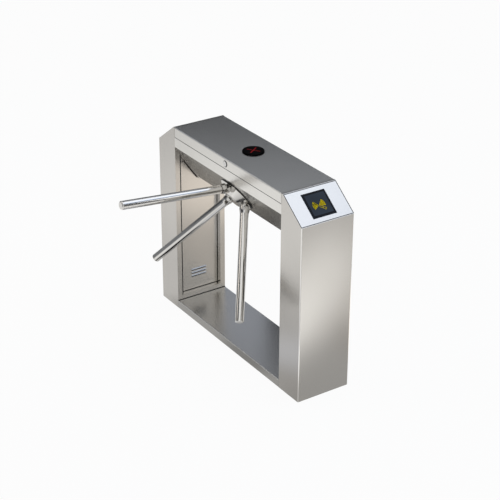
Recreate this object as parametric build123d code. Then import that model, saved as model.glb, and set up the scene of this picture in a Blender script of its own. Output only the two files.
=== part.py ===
"""Bridge-type tripod turnstile: two columns, a beam between them, three arms on a tilted hub.

Sizes are in millimetres. X runs along the cabinet, the arms stand out towards -Y and Z is up. The
origin is on the floor in the middle of the cabinet.
"""

import os
from math import acos, cos, hypot, pi, radians, sin, tan

from build123d import *

os.makedirs("parts", exist_ok=True)

# Cabinet of folded stainless sheet
LENGTH = 1200.0
WIDTH = 280.0
HEIGHT = 980.0
COLUMN_DEPTH = 153.0
TOP_STRIP = 10.0
SLOPE_DROP = 107.0
SHEET = 2.0
FOLD = 3.0
CORNER_FOLD = 4.0
RETURN = 5.0
PANEL_GAP = 0.6

# Base and floor fixing
BASE_HEIGHT = 40.0
TRAY_SHEET = 3.0
FOOT_PLATE = 8.0
ANCHOR_X = 100.0
ANCHOR_Y = 200.0
ANCHOR_D = 14.0
INLET_D = 40.0
GROMMET_WALL = 6.0
GROMMET_FLANGE = 3.0

# Beam, its lid and the tilted hub axis
FRONT_DROP = 100.0
BEAM_SLOPE = 240.0
AXIS_TILT = 35.5
HUB_DOWN = 111.5
LID_DROP = 50.0
LID_GAP = 1.5
SEAM = 3.0
RIM_LIP = 14.0
LID_RETURN = 20.0
BEAM_BOLT_D = 10.0
BOLT_SLACK = 0.5
BOLT_INSET = 30.0
CABLE_WAY_D = 50.0

# Reader on the slope of each column
SLOPE_LIP = 4.0
SLOPE_LEDGE = 12.0
READER = 125.0
READER_PROUD = 2.5
READER_BEVEL = 2.0
READER_FLANGE = 7.0
READER_BACK = 3.0
MODULE = 100.0
MODULE_DEPTH = 20.0

# Doors in the inner faces of the columns
DOOR_MARGIN = 27.0
DOOR_SILL = 25.0
DOOR_HEAD = 5.0
DOOR_RECESS = 28.0
DOOR_TRAY = 12.0
DOOR_GAP = 3.0
STOP_GAP = 1.0
STOP_LIP = 12.0
LATCH_INSET = 28.0
LATCH_HEIGHT = 395.0
LOUVRE_COUNT = 3
LOUVRE_WIDTH = 87.0
LOUVRE_PITCH = 17.3
LOUVRE_RISE = 5.5
LOUVRE_OUT = 5.0
LOUVRE_OPEN = 7.5
LOUVRE_LIFT = 76.0

# Piano hinges
HINGE_R = 4.0
HINGE_PIN_R = 2.0
HINGE_INSET = 12.0
HINGE_LEAF = 24.0
DOOR_KNUCKLES = 9
LID_KNUCKLES = 13
KNUCKLE_GAP = 0.3
RUNNING_FIT = 0.05
SEAT_FIT = 0.02

# Quarter-turn locks
LOCK_HEAD_R = 12.5
LOCK_HEAD = 2.5
LOCK_BARREL_R = 9.5
LOCK_BARREL = 16.0
LOCK_CORE_R = 7.0
LOCK_NUT_R = 14.0
LOCK_NUT = 6.0
KEY_SLOT = 1.6
KEY_WIDTH = 8.0
KEY_DEPTH = 4.0
CAM_LENGTH = 27.0
CAM_WIDTH = 12.0
CAM_PLATE = 2.5
KEEPER_START = 18.0
KEEPER_END = 44.0

# Indicator in the lid
LENS_R = 51.5
LENS_Y = 13.0
LENS_PROUD = 7.0
LENS_ROUND = 2.5
LENS_FLANGE = 6.0
LENS_PLATE = 3.0
LED_R = 2.2
LED_HEIGHT = 4.0
LED_PITCH = 7.5
LED_PER_LEG = 4
LED_TURN = 33.5
LED_BOARD = 1.6
LENS_POST = 7.4

# Hub and arms, measured along each arm from the point where the arm axes meet
APEX_DEPTH = 56.5
ARM_CONE = 41.0
ARM_COUNT = 3
ARM_REACH = 656.0
ARM_R = 20.0
TUBE_WALL = 1.5
HUB_BASE_R = 96.0
HUB_FRONT_R = 48.0
HUB_GAP = 3.2
HUB_HEIGHT = 32.8
HUB_WALL = 9.0
FACET = 96.0
ARM_PIN = 121.5
ARM_PIN_R = 5.0
KNUCKLE_R = 24.0
KNUCKLE_TAPER = 20.0
SPIGOT = 26.0
LUG_R = 11.0
LUG_THICK = 14.0
LUG_SLACK = 0.5
SPOT_R = 8.0
SPOT_AT = 20.5
ARM_CAP = 9.0
CAP_DOME = 5.0
SEAL_IN_R = 84.0
SEAL_OUT_R = 96.6
SEAL_THICK = 2.0
HUB_HOLE_R = 66.0

# Mechanism frame behind the sloped face
STANDOFF = 22.0
STANDOFF_R = 9.0
FRONT_PLATE = 8.0
PLATE_SPACE = 118.0
REAR_PLATE = 4.0
PLATE_HALF = 178.0
PLATE_BELOW = 100.0
PLATE_ABOVE = 75.0
REAR_ABOVE = 55.0
POST_INSET_X = 28.0
POST_INSET_Y = 15.0
PILLAR_R = 8.0
PILLAR_OUT = 62.0
SCREW_R = 4.0
SCREW_HEAD_R = 6.5
SCREW_HEAD = 5.0
SCREW_GRIP = 12.0

# Shaft and bearings
SHAFT_R = 17.5
SHAFT_SHOULDER_R = 22.0
ROD_R = 6.0
BEARING_R = 36.0
BEARING_WIDTH = 17.0
BEARING_SPREAD = 38.0
BEARING_SET = 6.0
RING_WALL = 5.5
BALL_R = 5.2
BALL_COUNT = 9
BALL_SLACK = 0.2
HOUSING_R = 46.0
HOUSING_FLANGE_R = 62.0
HOUSING_FLANGE = 10.0
HOUSING_SCREWS = 6
HOUSING_SCREW_TURN = 30.0
HOUSING_TAIL = 2.5
NUT_R = 24.0
NUT_HEIGHT = 8.0
SHAFT_TAIL = 2.0

# Gears, discs and pawls
GEAR_MODULE = 2.0
GEAR_TEETH = 60
PINION_TEETH = 15
PRESSURE_ANGLE = 20.0
BACKLASH = 0.3
GEAR_WIDTH = 12.0
GEAR_BOSS = 8.0
BOSS_R = 23.0
DISC_R = 75.0
DISC_WIDTH = 10.0
DISC_BOSS = 6.0
NOTCH_COUNT = 12
NOTCH_WIDTH = 16.0
NOTCH_DEPTH = 9.0
ENCODER_R = 40.0
ENCODER_PLATE = 2.0
ENCODER_SLOTS = 24
MOTOR_R = 26.0
MOTOR_LENGTH = 62.0
MOTOR_SHAFT_R = 4.0
PAWL_PIVOT_OUT = 19.0
PAWL_PIVOT_DOWN = 35.0
PAWL_PIVOT_R = 5.0
PAWL_WIDTH = 14.0
PAWL_PLATE = 6.0
PAWL_CLEAR = 1.5
PAWL_TOOTH = 7.0
PAWL_LEAD = 2.6
PAWL_TAIL = 45.0
SOLENOID = 34.0
SOLENOID_LENGTH = 45.0
SOLENOID_GAP = 33.0
PLUNGER_R = 6.0
FORK_PLATE = 3.5
FORK_SLACK = 1.5
LINK_PIN_R = 2.5
DROP_SOLENOID = 44.0
DROP_LENGTH = 50.0

# Electronics
BOARD_X = 160.0
BOARD_Y = 100.0
BOARD_PLATE = 1.6
BOARD_POST = 10.0
BOARD_END = 82.0
BOARD_EDGE = 20.0
POST_EDGE = 6.0
RELAY_COUNT = 4
RELAY_PITCH = 24.0
RELAY_X = 18.0
RELAY_Y = 16.0
RELAY_HEIGHT = 15.0
TERMINAL_EDGE = 2.0
TERMINAL_Y = 12.0
TERMINAL_HEIGHT = 11.0
CHIP = 24.0
CHIP_HEIGHT = 3.0
CHIP_GAP = 14.0
CONVERTER_X = 24.0
CONVERTER_HEIGHT = 18.0
SUPPLY_X = 40.0
SUPPLY_Y = 110.0
SUPPLY_Z = 160.0
SUPPLY_AT_Z = 300.0

# Positions that follow from the sizes above
TILT = radians(AXIS_TILT)
CONE = radians(ARM_CONE)
HALF_WIDTH = WIDTH / 2
INSIDE_Y = HALF_WIDTH - SHEET
END_X = LENGTH / 2
INNER_X = END_X - COLUMN_DEPTH
COLUMN_X = END_X - COLUMN_DEPTH / 2
SLOPE_RUN = COLUMN_DEPTH - TOP_STRIP
SLOPE_LENGTH = hypot(SLOPE_RUN, SLOPE_DROP)
SLOPE_TOP_Z = HEIGHT - FRONT_DROP
BEAM_BOTTOM_Z = SLOPE_TOP_Z - BEAM_SLOPE * cos(TILT)
BEAM_BOTTOM_Y = -HALF_WIDTH + BEAM_SLOPE * sin(TILT)
RIM_Z = HEIGHT - LID_DROP - SEAM / 2
BEAM_INSIDE = INNER_X - SHEET
FLOOR_SEAM_Y = BEAM_BOTTOM_Y + RETURN
LID_FOOT_Z = HEIGHT - LID_DROP + SEAM / 2
LID_HALF = INNER_X - LID_GAP
LID_LOCK_Z = HEIGHT - LID_DROP / 2

DOOR_HALF = HALF_WIDTH - DOOR_MARGIN
DOOR_X = INNER_X + DOOR_RECESS
JAMB_DEPTH = DOOR_RECESS + LOCK_BARREL - STOP_GAP
SILL_Z = BASE_HEIGHT + DOOR_SILL
HEAD_Z = BEAM_BOTTOM_Z - DOOR_HEAD
DOOR_HINGE_Y = -DOOR_HALF + HINGE_INSET
LATCH_Y = DOOR_HALF - LATCH_INSET
LATCH_Z = SILL_Z + LATCH_HEIGHT
LID_HINGE_Y = HALF_WIDTH + HINGE_R
LID_HINGE_Z = HEIGHT - LID_DROP

PLATE_FRONT = -SHEET - STANDOFF
PLATE_BACK = PLATE_FRONT - FRONT_PLATE
REAR_FRONT = PLATE_BACK - PLATE_SPACE
REAR_BACK = REAR_FRONT - REAR_PLATE
HOUSING_FRONT = PLATE_FRONT + HOUSING_FLANGE
BEARING_1 = HOUSING_FRONT - BEARING_SET
BEARING_2 = BEARING_1 - BEARING_WIDTH - BEARING_SPREAD
RINGS_END = BEARING_2 - BEARING_WIDTH
HOUSING_END = RINGS_END - HOUSING_TAIL
GEAR_FRONT = RINGS_END - GEAR_BOSS
GEAR_BACK = GEAR_FRONT - GEAR_WIDTH
DISC_FRONT = GEAR_BACK - DISC_BOSS
DISC_BACK = DISC_FRONT - DISC_WIDTH
ENCODER_FRONT = DISC_BACK - GEAR_BOSS
ENCODER_BACK = ENCODER_FRONT - ENCODER_PLATE
SHAFT_END = ENCODER_BACK - NUT_HEIGHT - SHAFT_TAIL
HUB_FRONT = HUB_GAP + HUB_HEIGHT
HUB_SEAT = HUB_GAP + HUB_WALL
GEAR_CENTRES = GEAR_MODULE * (GEAR_TEETH + PINION_TEETH) / 2
PAWL_X = DISC_R + PAWL_PIVOT_OUT
PAWL_MIDDLE = (DISC_FRONT + DISC_BACK) / 2
LINK_Y = -PAWL_PIVOT_DOWN - PAWL_TAIL
SOLENOID_X = PAWL_X + SOLENOID_GAP

HUB_FRAME = Plane(
    origin=(0, -HALF_WIDTH + HUB_DOWN * sin(TILT), SLOPE_TOP_Z - HUB_DOWN * cos(TILT)),
    x_dir=(1, 0, 0),
    z_dir=(0, -cos(TILT), -sin(TILT)),
)
SLOPE_FRAME = Plane(
    origin=(END_X - SLOPE_RUN / 2, 0, HEIGHT - SLOPE_DROP / 2),
    x_dir=(0, 1, 0),
    z_dir=(SLOPE_DROP, 0, SLOPE_RUN),
)
LID_LOCK_FRAME = Plane(origin=(0, -HALF_WIDTH, LID_LOCK_Z), x_dir=(1, 0, 0), z_dir=(0, -1, 0))
LATCH_FRAME = Plane(origin=(DOOR_X, LATCH_Y, LATCH_Z), x_dir=(0, -1, 0), z_dir=(-1, 0, 0))

POST_X = PLATE_HALF - POST_INSET_X
POST_LOW = POST_INSET_Y - PLATE_BELOW
STANDOFFS = [(x, y) for x in (-POST_X, POST_X) for y in (POST_LOW, PLATE_ABOVE - POST_INSET_Y)]
PILLARS = [(x, REAR_ABOVE - POST_INSET_Y) for x in (-POST_X, POST_X)]
PILLARS += [(x, POST_LOW) for x in (-PILLAR_OUT, PILLAR_OUT)]
BEAM_BOLTS = [
    (-HALF_WIDTH + BOLT_INSET, SLOPE_TOP_Z + BOLT_INSET / 2),
    (HALF_WIDTH - BOLT_INSET, SLOPE_TOP_Z + BOLT_INSET / 2),
    (BEAM_BOTTOM_Y + BOLT_INSET, BEAM_BOTTOM_Z + BOLT_INSET),
    (HALF_WIDTH - BOLT_INSET, BEAM_BOTTOM_Z + BOLT_INSET),
]
BOARD_AT_X = INNER_X - BOARD_END - BOARD_X / 2
BOARD_AT_Y = (BEAM_BOTTOM_Y + HALF_WIDTH) / 2
CABLE_WAY = (HALF_WIDTH / 2, (BEAM_BOTTOM_Z + SLOPE_TOP_Z) / 2)
ARM_ANGLES = [90 + 360 * i / ARM_COUNT for i in range(ARM_COUNT)]


def block(x0, x1, y0, y1, z0, z1):
    """Box between six planes."""
    return Pos((x0 + x1) / 2, (y0 + y1) / 2, (z0 + z1) / 2) * Box(x1 - x0, y1 - y0, z1 - z0)


def post(radius, low, high, x=0.0, y=0.0):
    """Round bar along Z."""
    return Pos(x, y, (low + high) / 2) * Cylinder(radius, high - low)


def bar_x(radius, low, high, y=0.0, z=0.0):
    """Round bar along X."""
    return Pos((low + high) / 2, y, z) * Rot(0, 90, 0) * Cylinder(radius, high - low)


def turned(points):
    """Solid of revolution about Z from (radius, height) points."""
    return revolve(Plane.XZ * Polygon(*points, align=None), Axis.Z)


def hexagon(radius, low, high):
    """Hexagonal nut blank along Z, sized across its corners."""
    return extrude(Pos(0, 0, low) * RegularPolygon(radius, 6), high - low)


def around(count, radius, start=0.0):
    """Points of a bolt circle."""
    return [
        (radius * cos(radians(start) + 2 * pi * i / count), radius * sin(radians(start) + 2 * pi * i / count))
        for i in range(count)
    ]


def inset(outline, amount):
    """Outline moved in (negative) or out with its corners kept sharp."""
    return offset(outline, amount, kind=Kind.INTERSECTION)


def left(shape):
    """The same piece on the other column."""
    return mirror(shape, about=Plane.YZ)


def both(shape):
    """One piece for each column."""
    return Compound([*shape.solids(), *left(shape).solids()])


def pair(name, shape):
    """Named pieces for the left and the right of the cabinet."""
    return {f"left_{name}": left(shape), f"right_{name}": shape}


def knuckle_spans(low, high, count, moving):
    """Stretches of a piano hinge that belong to one of its leaves."""
    pitch = (high - low) / count
    first = 1 if moving else 0
    return [
        (low + i * pitch + KNUCKLE_GAP, low + (i + 1) * pitch - KNUCKLE_GAP) for i in range(first, count, 2)
    ]


# Columns


def sloped_head(y, headroom):
    """Height of the sloped head at Y, with room left under the beam."""
    return SLOPE_TOP_Z - (y + HALF_WIDTH) / tan(TILT) - headroom / sin(TILT)


def door_outline(front, back, sill, headroom):
    """Doorway or door in (Y, Z), with its head parallel to the underside of the beam."""
    head = BEAM_BOTTOM_Z - headroom
    bend = front + (sloped_head(front, headroom) - head) * tan(TILT)
    top = sloped_head(front, headroom)
    return Polygon((front, sill), (back, sill), (back, head), (bend, head), (front, top), align=None)


def column_body():
    """Folded column, hollow and open at the floor."""
    outline = Polygon(
        (INNER_X, 0),
        (END_X, 0),
        (END_X, HEIGHT - SLOPE_DROP),
        (INNER_X + TOP_STRIP, HEIGHT),
        (INNER_X, HEIGHT),
        align=None,
    )
    body = extrude(Plane.XZ * outline, HALF_WIDTH, both=True)
    corners = body.edges().filter_by(Axis.Z).group_by(Axis.X)[-1]
    body = fillet(corners, CORNER_FOLD)
    body -= extrude(Plane.XZ * inset(outline, -SHEET), INSIDE_Y, both=True)
    return body - block(INNER_X + SHEET, END_X - SHEET, -INSIDE_Y, INSIDE_Y, -1, 2 * SHEET)


def slope_frame():
    """Ledge that the reader panel lies on, inside the opening of the slope."""
    long = SLOPE_LENGTH - 2 * SLOPE_LIP
    ledge = Box(2 * INSIDE_Y, long + 2 * SLOPE_LIP, SHEET)
    ledge -= Box(2 * INSIDE_Y - 2 * SLOPE_LEDGE, long - 2 * SLOPE_LEDGE, 2 * SHEET)
    return SLOPE_FRAME * (Pos(0, 0, -1.5 * SHEET) * ledge)


def column_shell():
    """Right column as one skin: walls, sunk door frame, ledge for the reader panel, bolt and cable holes."""
    shell = column_body()
    long = SLOPE_LENGTH - 2 * SLOPE_LIP
    shell -= SLOPE_FRAME * Box(2 * INSIDE_Y, long, 2 * SHEET)
    shell += slope_frame()
    doorway = door_outline(-DOOR_HALF, DOOR_HALF, SILL_Z, DOOR_HEAD)
    wall = Plane.YZ.offset(INNER_X)
    shell += extrude(wall * inset(doorway, SHEET), JAMB_DEPTH)
    shell -= extrude(wall * doorway, JAMB_DEPTH)
    stop = INNER_X + JAMB_DEPTH
    shell += block(stop - SHEET, stop, DOOR_HALF - STOP_LIP, DOOR_HALF + SHEET, SILL_Z, HEAD_Z)
    for y, z in BEAM_BOLTS:
        shell -= bar_x(BEAM_BOLT_D / 2 + BOLT_SLACK, INNER_X - SHEET, INNER_X + 2 * SHEET, y, z)
    return shell - bar_x(CABLE_WAY_D / 2, INNER_X - SHEET, INNER_X + 2 * SHEET, *CABLE_WAY)


def column_frame(shell):
    """Inner face of the column with its door frame, top strip and reader ledge, between the side panels."""
    return shell & block(INNER_X, END_X - RETURN, -INSIDE_Y, INSIDE_Y, 0, HEIGHT)


def column_side_panels(shell):
    """Flat front and back walls of the column."""
    front = shell & block(INNER_X, END_X - RETURN, -HALF_WIDTH, -INSIDE_Y, 0, HEIGHT)
    back = shell & block(INNER_X, END_X - RETURN, INSIDE_Y, HALF_WIDTH, 0, HEIGHT)
    return Compound([*front.solids(), *back.solids()])


def column_end_panel(shell):
    """End wall of the column, folded round both corners to meet the side panels."""
    return shell & block(END_X - RETURN, END_X, -HALF_WIDTH, HALF_WIDTH, 0, HEIGHT)


def reader_panel():
    """Sloped plate that closes the column and frames the reader window."""
    long = SLOPE_LENGTH - 2 * SLOPE_LIP - 2 * PANEL_GAP
    plate = Box(2 * INSIDE_Y - 2 * PANEL_GAP, long, SHEET)
    plate -= Box(READER + 2 * PANEL_GAP, READER + 2 * PANEL_GAP, 2 * SHEET)
    return SLOPE_FRAME * (Pos(0, 0, -SHEET / 2) * plate)


def reader_window():
    """Dark reader window with a bevelled rim, clamped from behind by its flange."""
    rise = SHEET + READER_PROUD
    front = Pos(0, 0, READER_PROUD - rise / 2) * Box(READER, READER, rise)
    front = chamfer(front.edges().group_by(Axis.Z)[-1], READER_BEVEL)
    back = READER + 2 * READER_FLANGE
    flange = Pos(0, 0, -SHEET - READER_BACK / 2) * Box(back, back, READER_BACK)
    return SLOPE_FRAME * (front + flange)


def reader_module():
    """Card reader in its case behind the window."""
    case = Box(MODULE, MODULE, MODULE_DEPTH)
    case = fillet(case.edges().filter_by(Axis.Z), FOLD)
    return SLOPE_FRAME * (Pos(0, 0, -SHEET - READER_BACK - MODULE_DEPTH / 2) * case)


def foot_plate():
    """Floor plate welded into the column, with four anchor holes and the cable inlet."""
    plate = block(INNER_X + SHEET, END_X - SHEET, -INSIDE_Y, INSIDE_Y, 0, FOOT_PLATE)
    for x in (-ANCHOR_X / 2, ANCHOR_X / 2):
        for y in (-ANCHOR_Y / 2, ANCHOR_Y / 2):
            plate -= post(ANCHOR_D / 2, -1, FOOT_PLATE + 1, COLUMN_X + x, y)
    return plate - post(INLET_D / 2, -1, FOOT_PLATE + 1, COLUMN_X)


def cable_grommet():
    """Rubber ring that lines the cable inlet."""
    ring = post(INLET_D / 2 - SEAT_FIT, 0, FOOT_PLATE)
    ring += post(INLET_D / 2 + GROMMET_WALL, FOOT_PLATE, FOOT_PLATE + GROMMET_FLANGE)
    ring -= post(INLET_D / 2 - GROMMET_WALL, -1, FOOT_PLATE + GROMMET_FLANGE + 1)
    return Pos(COLUMN_X, 0, 0) * ring


# Doors


def louvre(z):
    """Pressed hood over one vent slot, and the slot it covers."""
    tip = DOOR_X - LOUVRE_OUT
    hood = Polygon((DOOR_X, z + LOUVRE_RISE), (tip, z), (DOOR_X, z), align=None)
    slot = Polygon(
        (DOOR_X + 2 * SHEET, z + LOUVRE_RISE - SHEET),
        (DOOR_X, z + LOUVRE_RISE - SHEET),
        (tip + SHEET / 2, z - SHEET / 4),
        (DOOR_X, z - LOUVRE_OPEN),
        (DOOR_X + 2 * SHEET, z - LOUVRE_OPEN),
        align=None,
    )
    return (
        extrude(Plane.XZ * hood, LOUVRE_WIDTH / 2, both=True),
        extrude(Plane.XZ * slot, LOUVRE_WIDTH / 2 - SHEET, both=True),
    )


def door_hinge_range():
    """Lower and upper end of the door hinge, clear of the sloped head of the doorway."""
    return SILL_Z + 2 * DOOR_GAP, sloped_head(DOOR_HINGE_Y + HINGE_R, DOOR_HEAD) - 2 * DOOR_GAP


def door():
    """Right door: folded tray with louvres, latch bush and its half of the piano hinge.

    Its top corner by the hinge is cut level, so that the tray's depth swings clear of the sloped head.
    """
    outline = door_outline(DOOR_HINGE_Y, DOOR_HALF - DOOR_GAP, SILL_Z + DOOR_GAP, DOOR_HEAD + DOOR_GAP)
    level = sloped_head(DOOR_HINGE_Y + 2 * DOOR_TRAY, DOOR_HEAD + DOOR_GAP)
    outline -= Pos(DOOR_HINGE_Y, level + DOOR_HALF) * Rectangle(2 * DOOR_HALF, 2 * DOOR_HALF)
    leaf = extrude(Plane.YZ.offset(DOOR_X) * outline, DOOR_TRAY)
    leaf -= extrude(Plane.YZ.offset(DOOR_X + SHEET) * inset(outline, -SHEET), DOOR_TRAY)
    for i in range(LOUVRE_COUNT):
        hood, slot = louvre(SILL_Z + LOUVRE_LIFT + i * LOUVRE_PITCH)
        leaf = leaf + hood - slot
    bush = post(LOCK_HEAD_R, 0, LOCK_HEAD) + post(LOCK_BARREL_R, -LOCK_BARREL, 0)
    leaf += LATCH_FRAME * bush
    leaf -= LATCH_FRAME * post(LOCK_CORE_R + RUNNING_FIT, -LOCK_BARREL - 1, LOCK_HEAD + 1)
    low, high = door_hinge_range()
    axis = Pos(DOOR_X, DOOR_HINGE_Y, 0)
    leaf -= axis * post(HINGE_R + 2 * KNUCKLE_GAP, 0, HEIGHT)
    for start, end in knuckle_spans(low, high, DOOR_KNUCKLES, True):
        leaf += axis * post(HINGE_R, start, end)
        leaf += axis * block(0, SHEET, 0, 2 * HINGE_R, start, end)
    return leaf - axis * post(HINGE_PIN_R + RUNNING_FIT, 0, HEIGHT)


def door_hinge():
    """Fixed half of the door hinge with its pin."""
    low, high = door_hinge_range()
    axis = Pos(DOOR_X, DOOR_HINGE_Y, 0)
    hinge = axis * post(HINGE_PIN_R, low, high)
    for start, end in knuckle_spans(low, high, DOOR_KNUCKLES, False):
        hinge += axis * post(HINGE_R, start, end)
        hinge += axis * block(-SHEET / 2, SHEET / 2, -HINGE_INSET, 0, start, end)
    return hinge


def lock_core():
    """Lock core with its key slot and the cam at its back, which points down when unlocked."""
    back = -LOCK_BARREL - SHEET / 4
    core = post(LOCK_CORE_R, back, LOCK_HEAD + SHEET / 4)
    core += block(-CAM_WIDTH / 2, CAM_WIDTH / 2, -CAM_LENGTH, CAM_WIDTH / 2, back - CAM_PLATE, back)
    deep = LOCK_HEAD - KEY_DEPTH
    return core - block(-KEY_SLOT / 2, KEY_SLOT / 2, -KEY_WIDTH / 2, KEY_WIDTH / 2, deep, LOCK_HEAD + SHEET)


# Base


def base_tray():
    """Floor channel between the columns."""
    side = INSIDE_Y - PANEL_GAP
    top = BASE_HEIGHT - SHEET
    tray = block(-INNER_X, INNER_X, -side, side, 0, top)
    return tray - block(-INNER_X - 1, INNER_X + 1, TRAY_SHEET - side, side - TRAY_SHEET, TRAY_SHEET, top + 1)


def base_cover():
    """Folded cover over the floor channel."""
    long = INNER_X - PANEL_GAP
    cover = block(-long, long, -HALF_WIDTH, HALF_WIDTH, PANEL_GAP, BASE_HEIGHT)
    cover = fillet(cover.edges().filter_by(Axis.X).group_by(Axis.Z)[-1], FOLD)
    return cover - block(-END_X, END_X, -INSIDE_Y, INSIDE_Y, 0, BASE_HEIGHT - SHEET)


# Beam and lid


def beam_outline():
    """Beam section in (Y, Z)."""
    return Polygon(
        (-HALF_WIDTH, RIM_Z),
        (-HALF_WIDTH, SLOPE_TOP_Z),
        (BEAM_BOTTOM_Y, BEAM_BOTTOM_Z),
        (HALF_WIDTH, BEAM_BOTTOM_Z),
        (HALF_WIDTH, RIM_Z),
        align=None,
    )


def keeper():
    """Bracket over the lid lock cam."""
    back = -HALF_WIDTH + LOCK_BARREL + 3 * CAM_PLATE
    front = -HALF_WIDTH + RIM_LIP - SHEET
    tongue = LID_LOCK_Z + CAM_WIDTH / 2 + SHEET
    bracket = block(KEEPER_END - 3 * SHEET, KEEPER_END, front, back, RIM_Z - SHEET, tongue + SHEET)
    return bracket + block(KEEPER_START, KEEPER_END, front, back, tongue, tongue + SHEET)


def board_posts():
    """Places of the posts under the control board."""
    across = BOARD_X / 2 - POST_EDGE
    deep = BOARD_Y / 2 - POST_EDGE
    return [(BOARD_AT_X + i * across, BOARD_AT_Y + j * deep) for i in (-1, 1) for j in (-1, 1)]


def beam_front_panel():
    """Front and slope of the beam, folded from one sheet, with rim, hub opening, studs and lock keeper."""
    outline = beam_outline()
    panel = extrude(Plane.YZ * outline, BEAM_INSIDE, both=True)
    panel -= extrude(Plane.YZ * inset(outline, -SHEET), BEAM_INSIDE, both=True)
    panel &= block(-BEAM_INSIDE, BEAM_INSIDE, -HALF_WIDTH, FLOOR_SEAM_Y, BEAM_BOTTOM_Z, RIM_Z)
    rim = RIM_LIP - HALF_WIDTH
    panel -= block(-BEAM_INSIDE, BEAM_INSIDE, rim, HALF_WIDTH, RIM_Z - 2 * SHEET, RIM_Z + 1)
    panel -= HUB_FRAME * post(HUB_HOLE_R, -3 * SHEET, SHEET)
    for x, y in STANDOFFS:
        stud = post(STANDOFF_R, PLATE_FRONT, -SHEET / 2, x, y)
        panel += HUB_FRAME * (stud - post(SCREW_R + SEAT_FIT, PLATE_FRONT - 1, -2 * SHEET, x, y))
    return panel + keeper()


def beam_floor_panel():
    """Underside of the beam, with the posts of the control board."""
    panel = block(-BEAM_INSIDE, BEAM_INSIDE, FLOOR_SEAM_Y, INSIDE_Y, BEAM_BOTTOM_Z, BEAM_BOTTOM_Z + SHEET)
    for x, y in board_posts():
        panel += post(SCREW_R, BEAM_BOTTOM_Z + SHEET / 2, BEAM_BOTTOM_Z + SHEET + BOARD_POST, x, y)
    return panel


def beam_back_panel():
    """Back of the beam with its rim."""
    panel = block(-BEAM_INSIDE, BEAM_INSIDE, INSIDE_Y, HALF_WIDTH, BEAM_BOTTOM_Z, RIM_Z)
    rim = HALF_WIDTH - RIM_LIP
    return panel + block(-BEAM_INSIDE, BEAM_INSIDE, rim, HALF_WIDTH, RIM_Z - SHEET, RIM_Z)


def beam_end_wall():
    """Right end of the beam, with the holes for its bolts and the cables."""
    wall = extrude(Plane.YZ.offset(BEAM_INSIDE) * beam_outline(), SHEET)
    for y, z in BEAM_BOLTS:
        wall -= bar_x(BEAM_BOLT_D / 2 + BOLT_SLACK, BEAM_INSIDE - SHEET, INNER_X + 1, y, z)
    return wall - bar_x(CABLE_WAY_D / 2, BEAM_INSIDE - SHEET, INNER_X + 1, *CABLE_WAY)


def beam_bolt(y, z):
    """Bolt and nut that clamp the beam's end wall to the right column."""
    radius = BEAM_BOLT_D / 2
    nut = 0.8 * BEAM_BOLT_D
    bolt = post(radius, -SHEET - nut, SHEET + nut + 2)
    bolt += hexagon(0.98 * BEAM_BOLT_D, -SHEET - nut, -SHEET)
    bolt += hexagon(0.98 * BEAM_BOLT_D, SHEET, SHEET + nut)
    return Pos(INNER_X, y, z) * Rot(0, 90, 0) * bolt


def beam_bolts():
    """Four bolts at each end of the beam."""
    bolts = [beam_bolt(y, z) for y, z in BEAM_BOLTS]
    return Compound([s for bolt in bolts for s in (bolt.solid(), left(bolt).solid())])


def lid_hinge():
    """Fixed half of the lid's piano hinge with its pin."""
    foot = LID_HINGE_Z - HINGE_R - HINGE_LEAF
    hinge = block(-LID_HALF, LID_HALF, HALF_WIDTH, HALF_WIDTH + SHEET, foot, LID_HINGE_Z - HINGE_R - 1)
    hinge += bar_x(HINGE_PIN_R, -LID_HALF, LID_HALF, LID_HINGE_Y, LID_HINGE_Z)
    for start, end in knuckle_spans(-LID_HALF, LID_HALF, LID_KNUCKLES, False):
        hinge += bar_x(HINGE_R, start, end, LID_HINGE_Y, LID_HINGE_Z)
        hinge += block(start, end, HALF_WIDTH, HALF_WIDTH + SHEET, foot, LID_HINGE_Z)
    return hinge


def lid_cover():
    """Folded lid with its front drop, indicator hole, lock hole and its half of the hinge."""
    lid = block(-LID_HALF, LID_HALF, -HALF_WIDTH, HALF_WIDTH, LID_FOOT_Z, HEIGHT)
    lid = fillet(lid.edges().filter_by(Axis.X).group_by(Axis.Z)[-1], FOLD)
    lid -= block(SHEET - LID_HALF, LID_HALF - SHEET, -INSIDE_Y, INSIDE_Y, 0, HEIGHT - SHEET)
    for side in (-1, 1):
        low, high = sorted((side * (LID_HALF - 2 * SHEET), side * (LID_HALF + 1)))
        lid -= block(low, high, -INSIDE_Y, INSIDE_Y, 0, HEIGHT - LID_RETURN)
    lid -= post(LENS_R + PANEL_GAP, HEIGHT - 2 * SHEET, HEIGHT + 1, 0, LENS_Y)
    lid -= LID_LOCK_FRAME * post(LOCK_BARREL_R + SEAT_FIT, -2 * SHEET, 1)
    foot = LID_HINGE_Z + HINGE_R + 1
    lid += block(-LID_HALF, LID_HALF, HALF_WIDTH, HALF_WIDTH + SHEET, foot, foot + HINGE_LEAF)
    for start, end in knuckle_spans(-LID_HALF, LID_HALF, LID_KNUCKLES, True):
        lid += bar_x(HINGE_R, start, end, LID_HINGE_Y, LID_HINGE_Z)
        lid += block(start, end, HALF_WIDTH, HALF_WIDTH + SHEET, LID_HINGE_Z, foot + SHEET)
    return lid - bar_x(HINGE_PIN_R + RUNNING_FIT, -INNER_X, INNER_X, LID_HINGE_Y, LID_HINGE_Z)


def lid_lock_barrel():
    """Lock barrel with its rim outside and its nut inside the lid."""
    barrel = post(LOCK_HEAD_R, 0, LOCK_HEAD) + post(LOCK_BARREL_R, -LOCK_BARREL, 0)
    barrel += hexagon(LOCK_NUT_R, -SHEET - LOCK_NUT, -SHEET)
    return LID_LOCK_FRAME * (barrel - post(LOCK_CORE_R + RUNNING_FIT, -LOCK_BARREL - 1, LOCK_HEAD + 1))


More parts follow.
